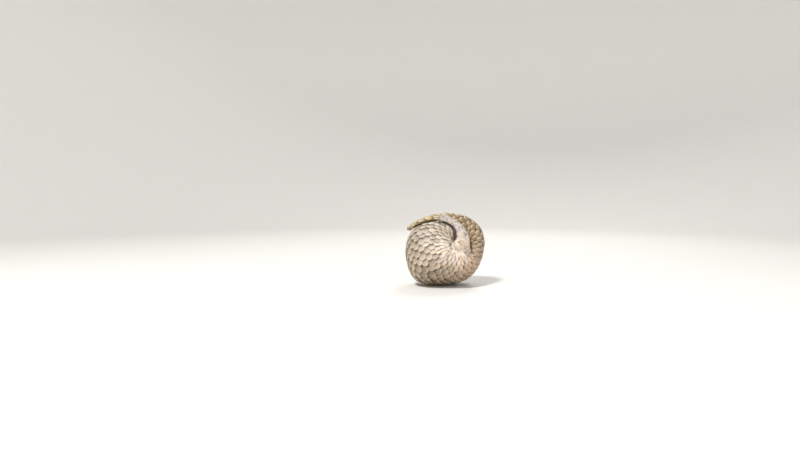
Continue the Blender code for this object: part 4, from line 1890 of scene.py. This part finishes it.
@dataclass
class Coat:
    """The scales, piece by piece, as solid meshes over the skin."""

    surface: BVHTree
    folds: Folds
    markings: Markings
    nose: np.ndarray
    seed: int = 7
    hidden_depth: float = 1.2
    near: float = 8.0
    far: float = 14.0
    follow: float = 0.7
    least_torn: float = 1.5
    most_torn: float = 4.0
    let_go: tuple[float, float] = (1.5, 3.0)
    test_stops: tuple[float, ...] = (0.28, 0.6, 0.95)
    fold_room: float = 4.0
    web_room: float = 1.6
    nose_room: float = 5.5
    back_reach: float = 0.28
    bake_top: float = 0.94
    bake_room: float = 0.8
    middles: list[np.ndarray] = field(default_factory=list)
    hues: list[np.ndarray] = field(default_factory=list)
    spans: list[np.ndarray] = field(default_factory=list)
    veils: list[np.ndarray] = field(default_factory=list)

    def cling(
        self, places: np.ndarray, normals: np.ndarray
    ) -> tuple[np.ndarray, np.ndarray, np.ndarray]:
        """Moves places on a part's own surface on to the one skin, where that is near.

        A scale that the move would tear goes as a whole on the near side, and stays put on the far one.

        Args:
            places: places on the part's surface, as an array of scales by points.
            normals: its normals there.

        Returns:
            The moved places, the normals there, and which scales the move wouldn't tear.
        """
        flat = places.reshape(-1, 3)
        found = [self.surface.find_nearest(Vector(place)) for place in flat]
        share = 1 - smoothstep(self.near, self.far, np.array([hit[3] for hit in found]))
        moves = np.array([hit[0] for hit in found]) - flat
        moves = (moves * share[:, None]).reshape(places.shape)
        torn = np.linalg.norm(moves - moves.mean(1, keepdims=True), axis=2).max(1)
        stiff = smoothstep(self.least_torn, self.most_torn, torn)[:, None, None]
        near_side = places[:, :, 2].mean(1) > 0
        held = np.where(near_side, 1.0, 1 - smoothstep(*self.let_go, torn))[:, None, None]
        turned = np.array([hit[1] for hit in found]).reshape(places.shape)
        turned = turned + (turned.mean(1, keepdims=True) - turned) * stiff
        follow = share.reshape(places.shape[:2])[..., None] * held * self.follow
        turned = normals + (turned - normals) * follow
        moves = moves + (moves.mean(1, keepdims=True) - moves) * stiff
        return places + moves * held, unit(turned), ~near_side | (torn < self.most_torn)

    def uncovered(self, points: np.ndarray, across: np.ndarray, along: np.ndarray) -> np.ndarray:
        """Which scales are not buried in another part of the body.

        Args:
            points: the scales' points.
            across: each point's place across its scale.
            along: each point's place along its scale.

        Returns:
            True for each scale to keep.
        """
        tests = [int(np.argmin(np.abs(across) + np.abs(along - stop))) for stop in self.test_stops]
        keep = np.zeros(len(points), bool)
        for k, scale in enumerate(points):
            for test in tests:
                spot = Vector(scale[test])
                place, normal, _, _ = self.surface.find_nearest(spot)
                if (spot - place).dot(normal) > -self.hidden_depth:
                    keep[k] = True
                    break
        return keep

    def patches(self, lattice: Field, roots: dict[str, np.ndarray], patch: np.ndarray) -> np.ndarray:
        """Where the points of each scale lie on the unwrap of its own lattice.

        Args:
            lattice: the lattice.
            roots: its scales.
            patch: the place of each of a scale's points on its patch.

        Returns:
            A place for each point of each scale.
        """
        span = lattice.end - lattice.start
        along = (roots["along"] - lattice.start) / span * self.bake_top
        middles = np.stack([(roots["around"] + 1) / 2, along], 1)
        room = np.stack([roots["gap"] / 2, roots["step"] / span * self.bake_top], 1) * self.bake_room
        return np.clip(middles[:, None] + (patch[None] - (0.5, 0)) * room[:, None], 0, 1)

    def build(
        self, name: str, fields: list[Field], material: bpy.types.Material, slot: Slot
    ) -> bpy.types.Object:
        """Makes one piece of the coat.

        Args:
            name: the piece's name.
            fields: its lattices.
            material: its finish.
            slot: its slot; not used.

        Returns:
            The piece.
        """
        random = np.random.default_rng(self.seed + sum(map(ord, name)))
        points, quads, patches, tones, colours, shields = [], [], [], [], [], []
        total = 0
        for k, lattice in enumerate(fields):
            local, faces, patch = lattice.shape.template()
            roots = lattice.roots(random)
            places, normals, height = lattice.points(roots)
            own = places
            places, normals, sound = self.cling(places, normals)
            made = places + normals * height[..., None]
            keep = self.uncovered(made, local[:, 0], local[:, 1])
            if lattice.part is Part.WEB:
                keep &= np.linalg.norm(places - own, axis=2).mean(1) < self.web_room
            if lattice.part is not Part.HEAD:
                keep &= np.linalg.norm(made - self.nose, axis=2).min(1) > self.nose_room
            if lattice.part in self.folds.forms:
                gaps = self.folds.gaps(made.reshape(-1, 3), lattice.part).reshape(made.shape[:2])
                made = made - normals * self.folds.sink(gaps)[..., None]
                if lattice.part is Part.LEG:
                    keep &= gaps.mean(1) > self.fold_room
                elif lattice.part is Part.TRUNK:
                    keep &= sound
            made, roots = made[keep], {key: value[keep] for key, value in roots.items()}
            middle = made[:, int(np.argmin(np.abs(local[:, 0]) + np.abs(local[:, 1] - 0.5)))]
            back = np.exp(-((roots["around"] / self.back_reach) ** 2))
            hue = self.markings.colours(lattice.part, middle, back)
            n, size = len(made), len(local)
            quads.append((faces[None] + (np.arange(n) * size)[:, None, None]).reshape(-1, 4) + total)
            total += n * size
            points.append(made.reshape(-1, 3))
            shields.append(np.tile(patch, (n, 1)))
            tones.append(np.repeat(roots["tone"], size))
            colours.append(np.repeat(hue, size, 0))
            spread = self.patches(lattice, roots, patch) * (1 / len(fields), 1) + (k / len(fields), 0)
            patches.append(spread.reshape(-1, 2))
            self.middles.append(middle)
            self.hues.append(hue)
            self.spans.append(np.maximum(roots["length"], roots["width"]) * 0.5)
            self.veils.append(np.full(n, lattice.veil))
        piece = mesh_piece(name, COIL.to_world(np.concatenate(points)), np.concatenate(quads))
        add_map(piece, "OFBake", np.concatenate(patches))
        add_map(piece, "shield", np.concatenate(shields))
        add_values(piece, "tone", np.concatenate(tones))
        add_values(piece, "marking", np.concatenate(colours))
        return dress(piece, material)


@dataclass(frozen=True)
class Lamp:
    """One soft square lamp: where it hangs, how wide it is, its power in watts and its colour."""

    name: str
    place: tuple[float, float, float]
    size: float
    power: float
    colour: Colour


@dataclass
class Studio:
    """A plain pale floor that curves up into a backdrop, soft light, and the camera at the photo's angle."""

    focal_px: float = 593.0
    picture: tuple[int, int] = (800, 450)
    ball_px: tuple[float, float] = (445.25, 249.5)
    distance: float = 1.326
    elevation: float = 3.0
    ball: tuple[float, float, float] = (0.0, 0.0, 0.080)
    sensor: float = 36.0
    clip: tuple[float, float] = (0.01, 50.0)
    flat_radii: tuple[float, ...] = (0.0, 0.4, 0.8, 1.3, 1.8, 2.2)
    sweep: float = 1.2
    wall_height: float = 4.5
    floor_sides: int = 96
    paint: Colour = (0.74, 0.73, 0.71)
    paint_roughness: float = 0.75
    sky: Colour = (0.93, 0.96, 1.0)
    sky_strength: float = 0.42
    lamps: tuple[Lamp, ...] = (
        Lamp("key", (-1.1, -1.6, 2.5), 0.6, 92.0, (1.0, 0.975, 0.945)),
        Lamp("fill", (1.6, -1.2, 0.9), 1.2, 7.0, (0.95, 0.97, 1.0)),
        Lamp("back", (0.6, 1.8, 1.9), 1.0, 26.0, (1.0, 0.98, 0.95)),
    )

    def camera(self) -> None:
        """Makes the camera: the ball is as large and where it is in the photo."""
        data = bpy.data.cameras.new("camera")
        data.sensor_width = self.sensor
        data.lens = self.focal_px * self.sensor / self.picture[0]
        data.clip_start, data.clip_end = self.clip
        tilt = math.radians(self.elevation)
        look = Vector((0, math.cos(tilt), -math.sin(tilt)))
        up, right = Vector((0, math.sin(tilt), math.cos(tilt))), Vector((1, 0, 0))
        aside = (self.ball_px[0] - self.picture[0] / 2) / self.focal_px * self.distance
        below = (self.ball_px[1] - self.picture[1] / 2) / self.focal_px * self.distance
        place = Vector(self.ball) - look * self.distance - right * aside + up * below
        bpy.context.scene.camera = self.aimed("camera", data, place, look)

    def aimed(self, name: str, data: bpy.types.ID, place: Vector, way: Vector) -> bpy.types.Object:
        """Puts a camera or a lamp at a place and points it one way.

        Args:
            name: its name.
            data: the camera or lamp.
            place: where it goes.
            way: where it looks.

        Returns:
            The object.
        """
        thing = bpy.data.objects.new(name, data)
        bpy.context.scene.collection.objects.link(thing)
        thing.location = place
        thing.rotation_mode = "QUATERNION"
        thing.rotation_quaternion = way.to_track_quat("-Z", "Y")
        return thing

    def floor(self) -> None:
        """Makes the floor and the backdrop as one sweep all round, so that no side shows an edge."""
        radii, heights = [*self.flat_radii], [0.0] * len(self.flat_radii)
        for turn in np.radians(np.linspace(6, 90, 15)):
            radii.append(self.flat_radii[-1] + self.sweep * math.sin(turn))
            heights.append(self.sweep * (1 - math.cos(turn)))
        radii.append(self.flat_radii[-1] + self.sweep)
        heights.append(self.wall_height)
        turns = np.linspace(0, 2 * math.pi, self.floor_sides + 1)
        rows = []
        for radius, height in zip(radii, heights):
            ring = (radius * np.cos(turns), radius * np.sin(turns), np.full(len(turns), height))
            rows.append(np.stack(ring, 1))
        quads = strip_quads(len(rows), len(turns))[:, ::-1]
        floor = mesh_piece("studio_floor", np.concatenate(rows), quads)
        material, _, shader = new_material("studio_paint")
        shader.inputs["Base Color"].default_value = rgba(self.paint)
        shader.inputs["Roughness"].default_value = self.paint_roughness
        floor.data.materials.append(material)

    def light(self) -> None:
        """Lights the ball as soft daylight from above and in front, a little from the left."""
        world = bpy.data.worlds.new("daylight")
        world.use_nodes = True
        background = world.node_tree.nodes["Background"]
        background.inputs["Color"].default_value = rgba(self.sky)
        background.inputs["Strength"].default_value = self.sky_strength
        bpy.context.scene.world = world
        for lamp in self.lamps:
            data = bpy.data.lights.new(lamp.name, "AREA")
            data.shape = "SQUARE"
            data.size, data.energy, data.color = lamp.size, lamp.power, lamp.colour
            place = Vector(lamp.place)
            self.aimed(lamp.name, data, place, Vector(self.ball) - place)
        bpy.context.scene.view_settings.view_transform = "Standard"

    def build(self) -> None:
        """Makes the whole studio."""
        self.camera()
        self.floor()
        self.light()


def main() -> None:
    """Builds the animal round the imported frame, piece by piece."""
    logging.basicConfig(level=logging.INFO, format="%(name)s %(message)s")
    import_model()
    Studio().build()
    effects, markings, animal = Effects(), Markings(), Animal()
    folds = Folds.of(animal)
    skin = Skin(animal, folds)
    thing, surface = skin.build(SkinFinish().build(effects))
    body = ScaleFinish("body_scales").build(effects)
    tail = ScaleFinish("tail_scales", rim=(0.78, 0.68, 0.44), rim_wear_and_highlight=0.7, lines=22.0).build(effects)
    fine = ScaleFinish(
        "small_scales", rim=(0.68, 0.62, 0.54), rim_wear_and_highlight=0.5, lines=16.0, groove=0.35).build(effects)
    coat = Coat(surface, folds, markings, animal.head.point(1.03, 0, 0))
    for name, fields in animal.fields().items():
        small = name in ("scales_legs", "scales_feet", "scales_head")
        finish = fine if small else tail if name == "scales_tail" else body
        coat.build(name, fields, finish, Slot.SMALL_SCALES if small else Slot.SCALES)
    skin.place(thing, coat)
    horn = ClawFinish().build(effects)
    for claws in animal.claws():
        claws.build(horn)
    wet = EyeFinish().build(effects)
    for side in Side:
        Eye(animal.head, side).build(wet)


if __name__ == "__main__":
    main()
